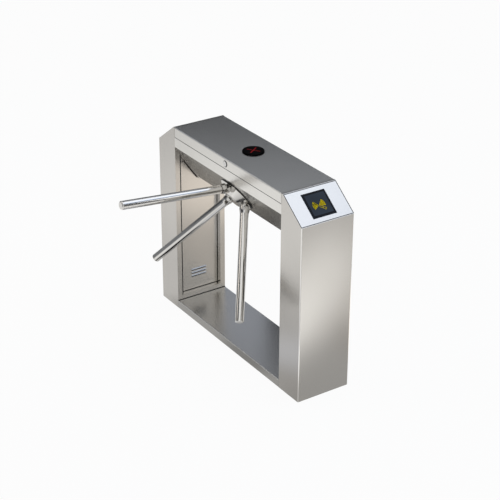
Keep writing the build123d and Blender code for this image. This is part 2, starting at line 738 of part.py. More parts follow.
def indicator_lens():
    """Dark lens that stands a little above the lid, held from below by its flange, with posts for the board."""
    under = HEIGHT - SHEET
    lens = post(LENS_R, under - LENS_PLATE, HEIGHT + LENS_PROUD)
    lens = fillet(lens.edges().group_by(Axis.Z)[-1], LENS_ROUND)
    lens += post(LENS_R + LENS_FLANGE, under - LENS_PLATE, under)
    for x, y in around(3, LENS_R - LENS_FLANGE, 90):
        lens += post(LED_R + 1, under - LENS_PLATE - LENS_POST, under - LENS_PLATE, x, y)
    return Pos(0, LENS_Y, 0) * lens


def indicator_board():
    """Round circuit board with the LED cross."""
    top = HEIGHT - SHEET - LENS_PLATE - LENS_POST
    board = post(LENS_R - 1, top - LED_BOARD, top)
    for leg in range(4):
        for step in range(1, LED_PER_LEG + 1):
            angle = radians(LED_TURN + 90 * leg)
            x = step * LED_PITCH * cos(angle)
            y = step * LED_PITCH * sin(angle)
            board += post(LED_R, top, top + LED_HEIGHT, x, y)
    board += post(LED_R, top, top + LED_HEIGHT)
    return Pos(0, LENS_Y, 0) * board


# Hub and arms, in the frame of the hub axis


def arm_frame(angle):
    """Frame along one arm: Z outwards along the arm, X along its pivot pin."""
    turn = radians(angle)
    return Plane(
        origin=(0, 0, -APEX_DEPTH),
        x_dir=(-sin(turn), cos(turn), 0),
        z_dir=(sin(CONE) * cos(turn), sin(CONE) * sin(turn), cos(CONE)),
    )


def lug():
    """Tongue on the hub that one arm's knuckle straddles, with the hole for its pin."""
    root = FACET - 2 * HUB_WALL
    tongue = block(-LUG_THICK / 2, LUG_THICK / 2, -LUG_R, LUG_R, root, ARM_PIN)
    tongue += bar_x(LUG_R, -LUG_THICK / 2, LUG_THICK / 2, 0, ARM_PIN)
    return tongue - bar_x(ARM_PIN_R + SEAT_FIT, -LUG_THICK, LUG_THICK, 0, ARM_PIN)


def tripod_hub():
    """Cast hub: hollow cone with three flats and lugs for the arms, and a bored boss on the shaft."""
    bore = SHAFT_R + SEAT_FIT
    hub = turned(
        [
            (bore, BEARING_1),
            (BOSS_R, BEARING_1),
            (BOSS_R, HUB_GAP),
            (HUB_BASE_R - 2, HUB_GAP),
            (HUB_BASE_R, HUB_GAP + 2),
            (HUB_BASE_R, HUB_GAP + 4),
            (HUB_FRONT_R, HUB_FRONT),
            (bore, HUB_FRONT),
        ]
    )
    hub -= turned(
        [
            (BOSS_R + HUB_WALL, HUB_GAP - 1),
            (HUB_BASE_R - 2 * HUB_WALL, HUB_GAP - 1),
            (HUB_FRONT_R, HUB_FRONT - 2 * HUB_WALL),
            (BOSS_R + HUB_WALL, HUB_FRONT - 2 * HUB_WALL),
        ]
    )
    for angle in ARM_ANGLES:
        far = Pos(0, 0, FACET + HUB_BASE_R) * Box(4 * HUB_BASE_R, 4 * HUB_BASE_R, 2 * HUB_BASE_R)
        hub -= arm_frame(angle) * far
    for angle in ARM_ANGLES:
        hub += arm_frame(angle) * lug()
    hub -= post(NUT_R + 5, HUB_SEAT, HUB_FRONT + 1)
    hub -= post(NUT_R + 8, HUB_FRONT - HUB_WALL / 2, HUB_FRONT + 1)
    return HUB_FRAME * hub


def hub_cap():
    """Domed cover over the shaft nut."""
    seat = HUB_FRONT - HUB_WALL / 2
    cap = post(NUT_R + 8 - PANEL_GAP, seat, HUB_FRONT + 2)
    return HUB_FRAME * fillet(cap.edges().group_by(Axis.Z)[-1], 1.5)


def knuckle():
    """Flared root of an arm: a clevis with rounded ears on the pin, and a spigot for the tube."""
    foot = ARM_PIN - KNUCKLE_R
    end = ARM_PIN + KNUCKLE_TAPER
    body = turned(
        [
            (0, foot),
            (KNUCKLE_R, foot),
            (KNUCKLE_R, ARM_PIN + 2),
            (ARM_R, end),
            (ARM_R - TUBE_WALL - SEAT_FIT, end),
            (ARM_R - TUBE_WALL - SEAT_FIT, end + SPIGOT),
            (0, end + SPIGOT),
        ]
    )
    ends = block(-KNUCKLE_R, KNUCKLE_R, -KNUCKLE_R - 1, KNUCKLE_R + 1, foot - 1, ARM_PIN)
    body -= ends - bar_x(KNUCKLE_R, -KNUCKLE_R, KNUCKLE_R, 0, ARM_PIN)
    slot = LUG_THICK / 2 + LUG_SLACK
    body -= block(-slot, slot, -2 * KNUCKLE_R, 2 * KNUCKLE_R, foot - 1, ARM_PIN + LUG_R + 2)
    for side in (-1, 1):
        low, high = sorted((side * SPOT_AT, side * 2 * KNUCKLE_R))
        body -= bar_x(SPOT_R, low, high, 0, ARM_PIN)
    return body - bar_x(ARM_PIN_R + RUNNING_FIT, -2 * KNUCKLE_R, 2 * KNUCKLE_R, 0, ARM_PIN)


def pivot_pin():
    """Arm pivot with a round head at each end."""
    pin = bar_x(ARM_PIN_R, -SPOT_AT - 2, SPOT_AT + 2, 0, ARM_PIN)
    for side in (-1, 1):
        low, high = sorted((side * (SPOT_AT + 0.2), side * (SPOT_AT + 2)))
        pin += bar_x(SPOT_R - 1, low, high, 0, ARM_PIN)
    return pin


def arm_tube():
    """Bright tube of one arm."""
    low = ARM_PIN + KNUCKLE_TAPER
    high = ARM_REACH - ARM_CAP
    return post(ARM_R, low, high) - post(ARM_R - TUBE_WALL, low - 1, high + 1)


def arm_cap():
    """Rounded plug in the end of the tube, with a thin groove where it meets the tube."""
    low = ARM_REACH - ARM_CAP
    plug = post(ARM_R - TUBE_WALL - SEAT_FIT, low - SPIGOT / 2, low + 1)
    head = post(ARM_R, low + 1, ARM_REACH)
    return plug + fillet(head.edges().group_by(Axis.Z)[-1], CAP_DOME)


def on_arms(shape, angles):
    """One piece on each of the given arms."""
    return Compound([(HUB_FRAME * (arm_frame(angle) * shape)).solid() for angle in angles])


def hub_seal_ring():
    """Dark ring on the slope behind the hub."""
    return HUB_FRAME * (post(SEAL_OUT_R, 0, SEAL_THICK) - post(SEAL_IN_R, -1, SEAL_THICK + 1))


# Mechanism, in the frame of the hub axis


def housing_screws():
    """Places of the screws in the flange of the bearing housing."""
    return around(HOUSING_SCREWS, (HOUSING_R + HOUSING_FLANGE_R) / 2, HOUSING_SCREW_TURN)


def front_plate():
    """Front plate of the mechanism, on the weld studs."""
    plate = block(-PLATE_HALF, PLATE_HALF, -PLATE_BELOW, PLATE_ABOVE, PLATE_BACK, PLATE_FRONT)
    plate -= post(HOUSING_R + SEAT_FIT, PLATE_BACK - 1, PLATE_FRONT + 1)
    for x, y in STANDOFFS:
        plate -= post(SCREW_R + BOLT_SLACK, PLATE_BACK - 1, PLATE_FRONT + 1, x, y)
    for x, y in housing_screws():
        plate -= post(SCREW_R + SEAT_FIT, PLATE_BACK - 1, PLATE_FRONT + 1, x, y)
    return HUB_FRAME * plate


def rear_plate():
    """Rear plate with the two pawl pivots riveted in."""
    plate = block(-PLATE_HALF, PLATE_HALF, -PLATE_BELOW, REAR_ABOVE, REAR_BACK, REAR_FRONT)
    plate -= post(ROD_R + 4, REAR_BACK - 1, REAR_FRONT + 1)
    for x, y in PILLARS:
        plate -= post(SCREW_R + BOLT_SLACK, REAR_BACK - 1, REAR_FRONT + 1, x, y)
    for side in (-1, 1):
        x = side * PAWL_X
        plate += post(PAWL_PIVOT_R, REAR_FRONT, PAWL_MIDDLE + PAWL_PLATE, x, -PAWL_PIVOT_DOWN)
        shoulder = PAWL_MIDDLE - PAWL_PLATE / 2 - KNUCKLE_GAP
        plate += post(PAWL_PIVOT_R + 3, REAR_FRONT, shoulder, x, -PAWL_PIVOT_DOWN)
    return HUB_FRAME * plate


def pillars():
    """Four pillars between the plates."""
    spacers = []
    for x, y in PILLARS:
        spacer = post(PILLAR_R, REAR_FRONT, PLATE_BACK, x, y)
        spacer -= post(SCREW_R + SEAT_FIT, REAR_FRONT - 1, REAR_FRONT + SCREW_GRIP + 2, x, y)
        spacers.append((HUB_FRAME * spacer).solid())
    return Compound(spacers)


def screw(x, y, seat, tip):
    """Cap screw from its seat to its tip, head on the other side of the seat."""
    shank = post(SCREW_R, min(seat, tip), max(seat, tip), x, y)
    top = seat + SCREW_HEAD if seat > tip else seat - SCREW_HEAD
    return HUB_FRAME * (shank + post(SCREW_HEAD_R, min(seat, top), max(seat, top), x, y))


def mechanism_screws():
    """Screws of the front plate, the bearing housing and the rear plate."""
    screws = [screw(x, y, PLATE_BACK, PLATE_FRONT + SCREW_GRIP) for x, y in STANDOFFS]
    screws += [screw(x, y, HOUSING_FRONT, PLATE_BACK) for x, y in housing_screws()]
    screws += [screw(x, y, REAR_BACK, REAR_FRONT + SCREW_GRIP) for x, y in PILLARS]
    return Compound([s.solid() for s in screws])


def bearing_housing():
    """Flanged housing with a seat for a bearing at each end."""
    housing = post(HOUSING_R, HOUSING_END, HOUSING_FRONT)
    housing += post(HOUSING_FLANGE_R, PLATE_FRONT, HOUSING_FRONT)
    housing -= post(BEARING_R - 4, HOUSING_END - 1, HOUSING_FRONT + 1)
    housing -= post(BEARING_R + SEAT_FIT, BEARING_1 - BEARING_WIDTH, HOUSING_FRONT + 1)
    housing -= post(BEARING_R + SEAT_FIT, HOUSING_END - 1, BEARING_2)
    for x, y in housing_screws():
        housing -= post(SCREW_R + BOLT_SLACK, PLATE_FRONT - 1, HOUSING_FRONT + 1, x, y)
    return HUB_FRAME * housing


def ring_pair(inner, outer):
    """One ring in each of the two bearings, with the ball track cut in it."""
    pitch = (SHAFT_R + BEARING_R) / 2
    rings = []
    for face in (BEARING_1, BEARING_2):
        ring = post(outer, face - BEARING_WIDTH, face) - post(inner, face - BEARING_WIDTH - 1, face + 1)
        track = Torus(pitch, BALL_R + BALL_SLACK)
        rings.append((HUB_FRAME * (ring - Pos(0, 0, face - BEARING_WIDTH / 2) * track)).solid())
    return Compound(rings)


def bearing_balls():
    """Balls of both bearings."""
    balls = []
    for face in (BEARING_1, BEARING_2):
        for x, y in around(BALL_COUNT, (SHAFT_R + BEARING_R) / 2):
            balls.append((HUB_FRAME * (Pos(x, y, face - BEARING_WIDTH / 2) * Sphere(BALL_R))).solid())
    return Compound(balls)


def main_shaft():
    """Hollow shaft with a shoulder between the bearings."""
    shaft = post(SHAFT_R, SHAFT_END, HUB_SEAT + NUT_HEIGHT)
    shaft += post(SHAFT_SHOULDER_R, BEARING_2, BEARING_1 - BEARING_WIDTH)
    return HUB_FRAME * (shaft - post(ROD_R + RUNNING_FIT, SHAFT_END - 1, HUB_FRONT))


def shaft_nuts():
    """Nut that holds the hub and nut that clamps the discs."""
    nuts = []
    for low in (HUB_SEAT, ENCODER_BACK - NUT_HEIGHT):
        nut = hexagon(NUT_R, low, low + NUT_HEIGHT) - post(SHAFT_R + SEAT_FIT, low - 1, low + NUT_HEIGHT + 1)
        nuts.append((HUB_FRAME * nut).solid())
    return Compound(nuts)


def involute(angle):
    """Involute function of a pressure angle."""
    return tan(angle) - angle


def gear_outline(teeth, phase):
    """Spur gear with a tooth centred at the given angle in degrees."""
    pitch_r = GEAR_MODULE * teeth / 2
    base_r = pitch_r * cos(radians(PRESSURE_ANGLE))
    root_r = pitch_r - 1.25 * GEAR_MODULE
    tip_r = pitch_r + 0.9 * GEAR_MODULE
    half = (pi * GEAR_MODULE / 2 - BACKLASH) / (2 * pitch_r) + involute(radians(PRESSURE_ANGLE))
    start_r = max(base_r, root_r)
    flank = [(min(root_r, start_r), half)] if root_r < base_r else []
    for i in range(5):
        radius = start_r + (tip_r - start_r) * i / 4
        flank.append((radius, half - involute(acos(base_r / radius))))
    points = []
    for tooth in range(teeth):
        middle = radians(phase) + 2 * pi * tooth / teeth
        points += [(r * cos(middle - a), r * sin(middle - a)) for r, a in flank]
        points += [(r * cos(middle + a), r * sin(middle + a)) for r, a in reversed(flank)]
    return Polygon(*points, align=None)


def drive_gear():
    """Gear on the main shaft, with a boss against the rear bearing and one against the index disc."""
    gear = extrude(Pos(0, 0, GEAR_BACK) * gear_outline(GEAR_TEETH, 180 / GEAR_TEETH), GEAR_WIDTH)
    gear += post(BOSS_R, DISC_FRONT, RINGS_END)
    return HUB_FRAME * (gear - post(SHAFT_R + SEAT_FIT, DISC_FRONT - 1, RINGS_END + 1))


def drive_pinion():
    """Pinion on the motor shaft."""
    phase = 180 - 360 / PINION_TEETH * (PINION_TEETH // 2)
    pinion = extrude(Pos(0, 0, GEAR_BACK) * gear_outline(PINION_TEETH, phase), GEAR_WIDTH)
    pinion += post(MOTOR_SHAFT_R, GEAR_FRONT, PLATE_BACK - MOTOR_LENGTH + GEAR_BOSS)
    return HUB_FRAME * (Pos(GEAR_CENTRES, 0, 0) * pinion)


def drive_motor():
    """Motor on the back of the front plate."""
    end = PLATE_BACK - MOTOR_LENGTH
    motor = post(MOTOR_R, end, PLATE_BACK)
    motor = fillet(motor.edges().group_by(Axis.Z)[0], FOLD)
    motor -= post(MOTOR_SHAFT_R + RUNNING_FIT, end - 1, end + GEAR_BOSS + 1)
    return HUB_FRAME * (Pos(GEAR_CENTRES, 0, 0) * motor)


def index_disc():
    """Notched disc that the pawls lock."""
    disc = post(DISC_R, DISC_BACK, DISC_FRONT) + post(BOSS_R, ENCODER_FRONT, DISC_FRONT)
    for i in range(NOTCH_COUNT):
        notch = Box(2 * NOTCH_DEPTH, NOTCH_WIDTH, 2 * DISC_WIDTH)
        disc -= Rot(0, 0, 360 * i / NOTCH_COUNT) * (Pos(DISC_R, 0, (DISC_BACK + DISC_FRONT) / 2) * notch)
    return HUB_FRAME * (disc - post(SHAFT_R + SEAT_FIT, ENCODER_FRONT - 1, DISC_FRONT + 1))


def encoder_disc():
    """Slotted disc read by the position sensor."""
    disc = post(ENCODER_R, ENCODER_BACK, ENCODER_FRONT)
    disc -= post(SHAFT_R + SEAT_FIT, ENCODER_BACK - 1, ENCODER_FRONT + 1)
    for i in range(ENCODER_SLOTS):
        slot = Pos(ENCODER_R - 4, 0, ENCODER_BACK) * Box(5, 3, 4 * ENCODER_PLATE)
        disc -= Rot(0, 0, 360 * i / ENCODER_SLOTS) * slot
    return HUB_FRAME * disc


def position_sensor():
    """Optical fork over the rim of the encoder disc."""
    middle = (ENCODER_FRONT + ENCODER_BACK) / 2
    top = ENCODER_R + 16
    sensor = block(-10, 10, ENCODER_R - 6, top, REAR_FRONT, middle + 8)
    return HUB_FRAME * (sensor - block(-11, 11, 0, ENCODER_R + 4, middle - 2.5, middle + 2.5))


def pawl():
    """Right locking pawl: pivot boss, tooth beside the index disc and tail slotted for the plunger."""
    low = PAWL_MIDDLE - PAWL_PLATE / 2
    high = PAWL_MIDDLE + PAWL_PLATE / 2
    half = PAWL_WIDTH / 2
    pivot = -PAWL_PIVOT_DOWN
    lever = block(PAWL_X - half, PAWL_X + half, LINK_Y - 11, PAWL_LEAD + PAWL_TOOTH / 2, low, high)
    lever += post(half + 4, low, high, PAWL_X, pivot)
    tip = DISC_R + PAWL_CLEAR
    lever += block(tip, PAWL_X, PAWL_LEAD - PAWL_TOOTH / 2, PAWL_LEAD + PAWL_TOOTH / 2, low, high)
    lever -= post(PAWL_PIVOT_R + RUNNING_FIT, low - 1, high + 1, PAWL_X, pivot)
    gap = LINK_PIN_R + 0.7
    return lever - block(PAWL_X - gap, PAWL_X + gap, LINK_Y - 2 * gap, LINK_Y + 2 * gap, low - 1, high + 1)


def plunger():
    """Right solenoid plunger with the fork and cross pin that move the pawl's tail."""
    gap = PAWL_PLATE / 2 + FORK_SLACK
    side = gap + FORK_PLATE
    web = PAWL_X + PAWL_WIDTH
    fork = block(PAWL_X - 8, web + 6, LINK_Y - 6, LINK_Y + 6, PAWL_MIDDLE - side, PAWL_MIDDLE + side)
    fork -= block(PAWL_X - 9, web, LINK_Y - 7, LINK_Y + 7, PAWL_MIDDLE - gap, PAWL_MIDDLE + gap)
    fork += post(LINK_PIN_R, PAWL_MIDDLE - side, PAWL_MIDDLE + side, PAWL_X, LINK_Y)
    return fork + bar_x(PLUNGER_R, web, SOLENOID_X + SOLENOID_LENGTH / 2, LINK_Y, PAWL_MIDDLE)


def lock_solenoid():
    """Right lock solenoid on its bracket."""
    half = SOLENOID / 2
    end = SOLENOID_X + SOLENOID_LENGTH
    case = block(SOLENOID_X, end, LINK_Y - half, LINK_Y + half, PAWL_MIDDLE - half, PAWL_MIDDLE + half)
    bracket = block(SOLENOID_X, end, LINK_Y - half, LINK_Y + half, REAR_FRONT, PAWL_MIDDLE - half)
    return case + bracket - bar_x(PLUNGER_R + 0.3, SOLENOID_X - 1, end - 6, LINK_Y, PAWL_MIDDLE)


def drop_solenoid():
    """Solenoid behind the rear plate that pulls the drop rod."""
    half = DROP_SOLENOID / 2
    case = block(-half, half, -half, half, REAR_BACK - DROP_LENGTH, REAR_BACK)
    case = fillet(case.edges().filter_by(Axis.Z), FOLD)
    return HUB_FRAME * (case - post(ROD_R + 0.3, REAR_BACK - DROP_LENGTH + 6, REAR_BACK + 1))


def drop_rod():
    """Rod through the hollow shaft that holds and frees the top arm."""
    return HUB_FRAME * post(ROD_R, REAR_BACK - DROP_LENGTH / 2, HUB_SEAT)


# Electronics


def control_board():
    """Control board with relays, terminal rows and a processor."""
    low = BEAM_BOTTOM_Z + SHEET + BOARD_POST
    top = low + BOARD_PLATE
    board = block(-BOARD_X / 2, BOARD_X / 2, -BOARD_Y / 2, BOARD_Y / 2, low, top)
    first = BOARD_EDGE - BOARD_X / 2
    back = BOARD_Y / 2 - BOARD_EDGE
    for i in range(RELAY_COUNT):
        x = first + i * RELAY_PITCH
        board += block(x, x + RELAY_X, back - RELAY_Y, back, top, top + RELAY_HEIGHT)
    board += block(-first - CONVERTER_X, -first, back - CONVERTER_X, back, top, top + CONVERTER_HEIGHT)
    row = TERMINAL_EDGE - BOARD_Y / 2 + TERMINAL_Y
    board += block(first, -first, row - TERMINAL_Y, row, top, top + TERMINAL_HEIGHT)
    board += block(-CHIP / 2, CHIP / 2, row + CHIP_GAP, row + CHIP_GAP + CHIP, top, top + CHIP_HEIGHT)
    return Pos(BOARD_AT_X, BOARD_AT_Y, 0) * board


def power_supply():
    """Power supply on the end wall of the left column, with a vented case."""
    wall = SHEET - END_X
    top = SUPPLY_AT_Z + SUPPLY_Z
    case = block(wall, wall + SUPPLY_X, -SUPPLY_Y / 2, SUPPLY_Y / 2, SUPPLY_AT_Z, top)
    for i in range(5):
        z = SUPPLY_AT_Z + 60 + 16 * i
        case -= block(wall + SUPPLY_X - 3, wall + SUPPLY_X + 1, -SUPPLY_Y / 3, SUPPLY_Y / 3, z, z + 6)
    return case + block(wall, wall + 18, -SUPPLY_Y / 2 + 8, SUPPLY_Y / 2 - 8, SUPPLY_AT_Z - 14, SUPPLY_AT_Z)


TOP = ARM_ANGLES[:1]
LOWER = ARM_ANGLES[1:]

COLUMN = column_shell()

PIECES = {
    "column_frames": both(column_frame(COLUMN)),
    "column_side_panels": both(column_side_panels(COLUMN)),
    "column_end_panels": both(column_end_panel(COLUMN)),
    "reader_panels": both(reader_panel()),
    "reader_windows": both(reader_window()),
    "reader_modules": both(reader_module()),
    "foot_plates": both(foot_plate()),
    "cable_grommets": both(cable_grommet()),
    "base_tray": base_tray(),
    "base_cover": base_cover(),
    **pair("door", door()),
    "door_hinges": both(door_hinge()),
    **pair("door_lock", LATCH_FRAME * lock_core()),
    "beam_front_panel": beam_front_panel(),
    "beam_floor_panel": beam_floor_panel(),
    "beam_back_panel": beam_back_panel(),
    "beam_end_walls": both(beam_end_wall()),
    "beam_bolts": beam_bolts(),
    "lid_cover": lid_cover(),
    "lid_hinge": lid_hinge(),
    "lid_lock_barrel": lid_lock_barrel(),
    "lid_lock_core": LID_LOCK_FRAME * lock_core(),
    "indicator_lens": indicator_lens(),
    "indicator_board": indicator_board(),
    "hub_seal_ring": hub_seal_ring(),
    "tripod_hub": tripod_hub(),
    "hub_cap": hub_cap(),
    "top_arm_tube": on_arms(arm_tube(), TOP),
    "top_arm_knuckle": on_arms(knuckle(), TOP),
    "top_arm_cap": on_arms(arm_cap(), TOP),
    "lower_arm_tubes": on_arms(arm_tube(), LOWER),
    "lower_arm_knuckles": on_arms(knuckle(), LOWER),
    "lower_arm_caps": on_arms(arm_cap(), LOWER),
    "arm_pivot_pins": on_arms(pivot_pin(), ARM_ANGLES),
    "mechanism_plates": Compound([*front_plate().solids(), *rear_plate().solids()]),
    "mechanism_pillars": pillars(),
    "mechanism_screws": mechanism_screws(),
    "bearing_housing": bearing_housing(),
    "bearing_outer_rings": ring_pair(BEARING_R - RING_WALL, BEARING_R),
    "bearing_inner_rings": ring_pair(SHAFT_R + SEAT_FIT, SHAFT_R + RING_WALL),
    "bearing_balls": bearing_balls(),
    "main_shaft": main_shaft(),
    "shaft_nuts": shaft_nuts(),
    "drive_gear": drive_gear(),
    "drive_pinion": drive_pinion(),
    "drive_motor": drive_motor(),
    "index_disc": index_disc(),
    "encoder_disc": encoder_disc(),
    "position_sensor": position_sensor(),
    **pair("pawl", HUB_FRAME * pawl()),
    **pair("plunger", HUB_FRAME * plunger()),
    "lock_solenoids": both(HUB_FRAME * lock_solenoid()),
    "drop_solenoid": drop_solenoid(),
    "drop_rod": drop_rod(),
    "control_board": control_board(),
    "power_supply": power_supply(),
}

for name, piece in PIECES.items():
    export_step(piece, f"parts/{name}.step")
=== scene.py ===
"""Looks of the tripod turnstile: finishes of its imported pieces, printed and lit details, and the studio.

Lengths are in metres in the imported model's own frame: X along the cabinet, the arms towards -Y, Z up.
"""

import logging
import math
from abc import ABC, abstractmethod
from collections.abc import Callable
from dataclasses import dataclass
from enum import Enum

import bmesh
import bpy
from mathutils import Matrix, Vector


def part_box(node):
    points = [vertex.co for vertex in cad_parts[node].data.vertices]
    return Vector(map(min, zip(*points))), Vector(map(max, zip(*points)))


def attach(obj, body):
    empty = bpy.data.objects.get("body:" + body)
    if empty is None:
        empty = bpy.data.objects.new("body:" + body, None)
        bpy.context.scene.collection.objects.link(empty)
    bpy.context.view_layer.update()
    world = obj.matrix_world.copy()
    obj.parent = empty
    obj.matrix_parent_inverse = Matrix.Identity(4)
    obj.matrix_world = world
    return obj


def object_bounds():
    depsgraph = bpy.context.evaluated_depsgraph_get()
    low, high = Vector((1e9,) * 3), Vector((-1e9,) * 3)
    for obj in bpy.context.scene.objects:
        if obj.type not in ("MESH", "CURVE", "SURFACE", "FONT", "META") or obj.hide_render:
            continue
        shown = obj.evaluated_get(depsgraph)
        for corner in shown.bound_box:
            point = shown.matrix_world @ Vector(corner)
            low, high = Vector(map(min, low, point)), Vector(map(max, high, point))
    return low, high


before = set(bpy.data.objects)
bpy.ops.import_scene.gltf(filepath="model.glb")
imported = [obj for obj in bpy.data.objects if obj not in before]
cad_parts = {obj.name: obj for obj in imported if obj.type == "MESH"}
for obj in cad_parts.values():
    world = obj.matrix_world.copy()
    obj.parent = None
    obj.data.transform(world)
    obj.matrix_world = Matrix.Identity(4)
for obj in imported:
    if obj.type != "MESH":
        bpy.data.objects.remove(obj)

Tree, Socket = bpy.types.NodeTree, bpy.types.NodeSocket
Mesh, Face = bmesh.types.BMesh, bpy.types.MeshPolygon
Pair, Triple = tuple[float, float], tuple[float, float, float]
Colour = tuple[float, float, float, float]

LOG = logging.getLogger("turnstile")
CAD_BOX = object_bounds()
MM = 0.001
UP = Vector((0, 0, 1))
# Corners of a square, once round and back to the first.
SQUARE = ((1, 1), (-1, 1), (-1, -1), (1, -1), (1, 1))
# Thin pieces stand this far off their ground, so that no two faces share a plane.
SKIN = MM / 50
# The back of a bead starts at this share of its height.
BEAD_SIDE = 0.35
# The round of a fold has normals that lean at least this much both ways.
FOLD_LEAN = 0.2
# A face looks along an axis where its normal has at least this share of it.
FACING = 0.9
# The studio paper lies this far under the feet, and the sheet for reflections half as far.
PAPER_DROP = MM / 2
# Noise seldom leaves this range.
NOISE = {"From Min": 0.3, "From Max": 0.7}
# Sockets of a Mix node that blends colours: its factor, its two colours and its output.
FACTOR, FIRST, SECOND, BLEND = 0, 6, 7, 2


def srgb(code: str) -> Colour:
    """Turn an sRGB hex colour into linear light.

    Args:
        code: colour such as "#C8C5C0".

    Returns:
        Linear red, green and blue, and an alpha of 1.
    """
    parts = [int(code[i : i + 2], 16) / 255 for i in (1, 3, 5)]
    light = [c / 12.92 if c <= 0.04045 else ((c + 0.055) / 1.055) ** 2.4 for c in parts]
    return (*light, 1.0)


def per_metre(size_mm: float) -> float:
    """Return how often a pattern of a size in millimetres repeats in a metre."""
    return 1 / (size_mm * MM)


def add(tree: Tree, kind: str, inputs: dict | None = None, **settings: object) -> bpy.types.Node:
    """Add one node with its settings, constants and links.

    Args:
        tree: node tree of a material or of the world.
        kind: Blender's name for the node type, without ShaderNode before it.
        inputs: socket name or number to a constant, or to the output socket that feeds it.
        settings: properties of the node itself.

    Returns:
        The new node.
    """
    node = tree.nodes.new(f"ShaderNode{kind}")
    for key, value in settings.items():
        setattr(node, key, value)
    for key, value in (inputs or {}).items():
        if isinstance(value, Socket):
            tree.links.new(value, node.inputs[key])
        else:
            node.inputs[key].default_value = value
    return node


def seen_rays(tree: Tree) -> Socket:
    """Tell what the camera sees straight, mirrored or through glass from other light.

    Args:
        tree: node tree of a material or of the world.

    Returns:
        A socket that is 1 for what is seen, else 0.
    """
    path = add(tree, "LightPath").outputs
    sharp = {0: path["Is Camera Ray"], 1: path["Is Glossy Ray"]}
    seen = {0: add(tree, "Math", sharp, operation="MAXIMUM").outputs[0], 1: path["Is Transmission Ray"]}
    return add(tree, "Math", seen, operation="MAXIMUM").outputs[0]


class Grain(Enum):
    """Direction in which a sheet was brushed."""

    LENGTHWISE = "X"
    CROSSWISE = "Y"
    UPRIGHT = "Z"


class Side(Enum):
    """End of the cabinet, with the sign of its X."""

    LEFT = -1
    RIGHT = 1

    @property
    def word(self) -> str:
        """Return the side as names spell it."""
        return self.name.lower()


@dataclass(frozen=True)
class Finish(ABC):
    """A surface finish that is made once as a material and shared."""

    name: str

    @abstractmethod
    def surface(self, tree: Tree) -> Socket:
        """Build the finish.

        Args:
            tree: its node tree.

        Returns:
            Its shader.
        """

    def material(self) -> bpy.types.Material:
        """Make the finish at its first use.

        Returns:
            The finish as a material.
        """
        found = bpy.data.materials.get(self.name)
        if found:
            return found
        made = bpy.data.materials.new(self.name)
        made.use_nodes = True
        made.node_tree.nodes.clear()
        add(made.node_tree, "OutputMaterial", {"Surface": self.surface(made.node_tree)})
        return made


@dataclass(frozen=True)
class BrushedStainless(Finish):
    """Stainless sheet brushed with a grit belt.

    It looks satin: a soft mirror, streaked along the grain, with faint clouds where the belt pressed harder.
    """

    grain: Grain = Grain.UPRIGHT
    tone: str = "#D6D4D0"
    shade: str = "#CFCDC8"
    roughness: float = 0.27
    swing: float = 0.003
    # Belt lines are about 0.1 mm apart, too fine to show, so they are drawn coarser.
    line_mm: float = 0.6
    streak_mm: float = 260.0
    cloud_mm: float = 210.0
    depth_mm: float = 0.004
    relief: float = 0.004

    def surface(self, tree: Tree) -> Socket:
        """Build the streaked satin metal.

        Args:
            tree: its node tree.

        Returns:
            Its shader.
        """
        place = add(tree, "TexCoord").outputs["Object"]
        across, along = per_metre(self.line_mm), per_metre(self.streak_mm)
        scale = [along if axis == self.grain.value else across for axis in "XYZ"]
        stretched = add(tree, "Mapping", {"Vector": place, "Scale": scale}).outputs["Vector"]
        belt = {"Vector": stretched, "Scale": 1.0, "Detail": 3.0}
        lines = add(tree, "TexNoise", belt).outputs["Fac"]
        press = {"Vector": place, "Scale": per_metre(self.cloud_mm), "Detail": 1.0}
        clouds = add(tree, "TexNoise", press).outputs["Fac"]
        spread = {"To Min": self.roughness - self.swing, "To Max": self.roughness + self.swing}
        rough = add(tree, "MapRange", {"Value": lines, **NOISE, **spread})
        mixed = {FACTOR: clouds, FIRST: srgb(self.tone), SECOND: srgb(self.shade)}
        colour = add(tree, "Mix", mixed, data_type="RGBA")
        relief = {"Height": lines, "Strength": self.relief, "Distance": self.depth_mm * MM}
        steel = {"Base Color": colour.outputs[BLEND], "Metallic": 1.0, "Roughness": rough.outputs["Result"]}
        steel["Normal"] = add(tree, "Bump", relief).outputs["Normal"]
        return add(tree, "BsdfPrincipled", steel).outputs["BSDF"]


@dataclass(frozen=True)
class BarMetal(Finish):
    """Bare metal that was polished, ground, turned or cast, with fine wear in its gloss."""

    tone: str = "#D6D4D0"
    roughness: float = 0.10
    swing: float = 0.03
    mark_mm: float = 6.0
    depth_mm: float = 0.0
    relief: float = 0.5

    def surface(self, tree: Tree) -> Socket:
        """Build the metal with its uneven gloss and, where it has one, its grain.

        Args:
            tree: its node tree.

        Returns:
            Its shader.
        """
        place = add(tree, "TexCoord").outputs["Object"]
        wear_marks = {"Vector": place, "Scale": per_metre(self.mark_mm), "Detail": 4.0}
        marks = add(tree, "TexNoise", wear_marks).outputs["Fac"]
        spread = {"To Min": self.roughness - self.swing, "To Max": self.roughness + self.swing}
        rough = add(tree, "MapRange", {"Value": marks, **NOISE, **spread})
        metal = {"Base Color": srgb(self.tone), "Metallic": 1.0, "Roughness": rough.outputs["Result"]}
        if self.depth_mm:
            relief = {"Height": marks, "Strength": self.relief, "Distance": self.depth_mm * MM}
            metal["Normal"] = add(tree, "Bump", relief).outputs["Normal"]
        return add(tree, "BsdfPrincipled", metal).outputs["BSDF"]


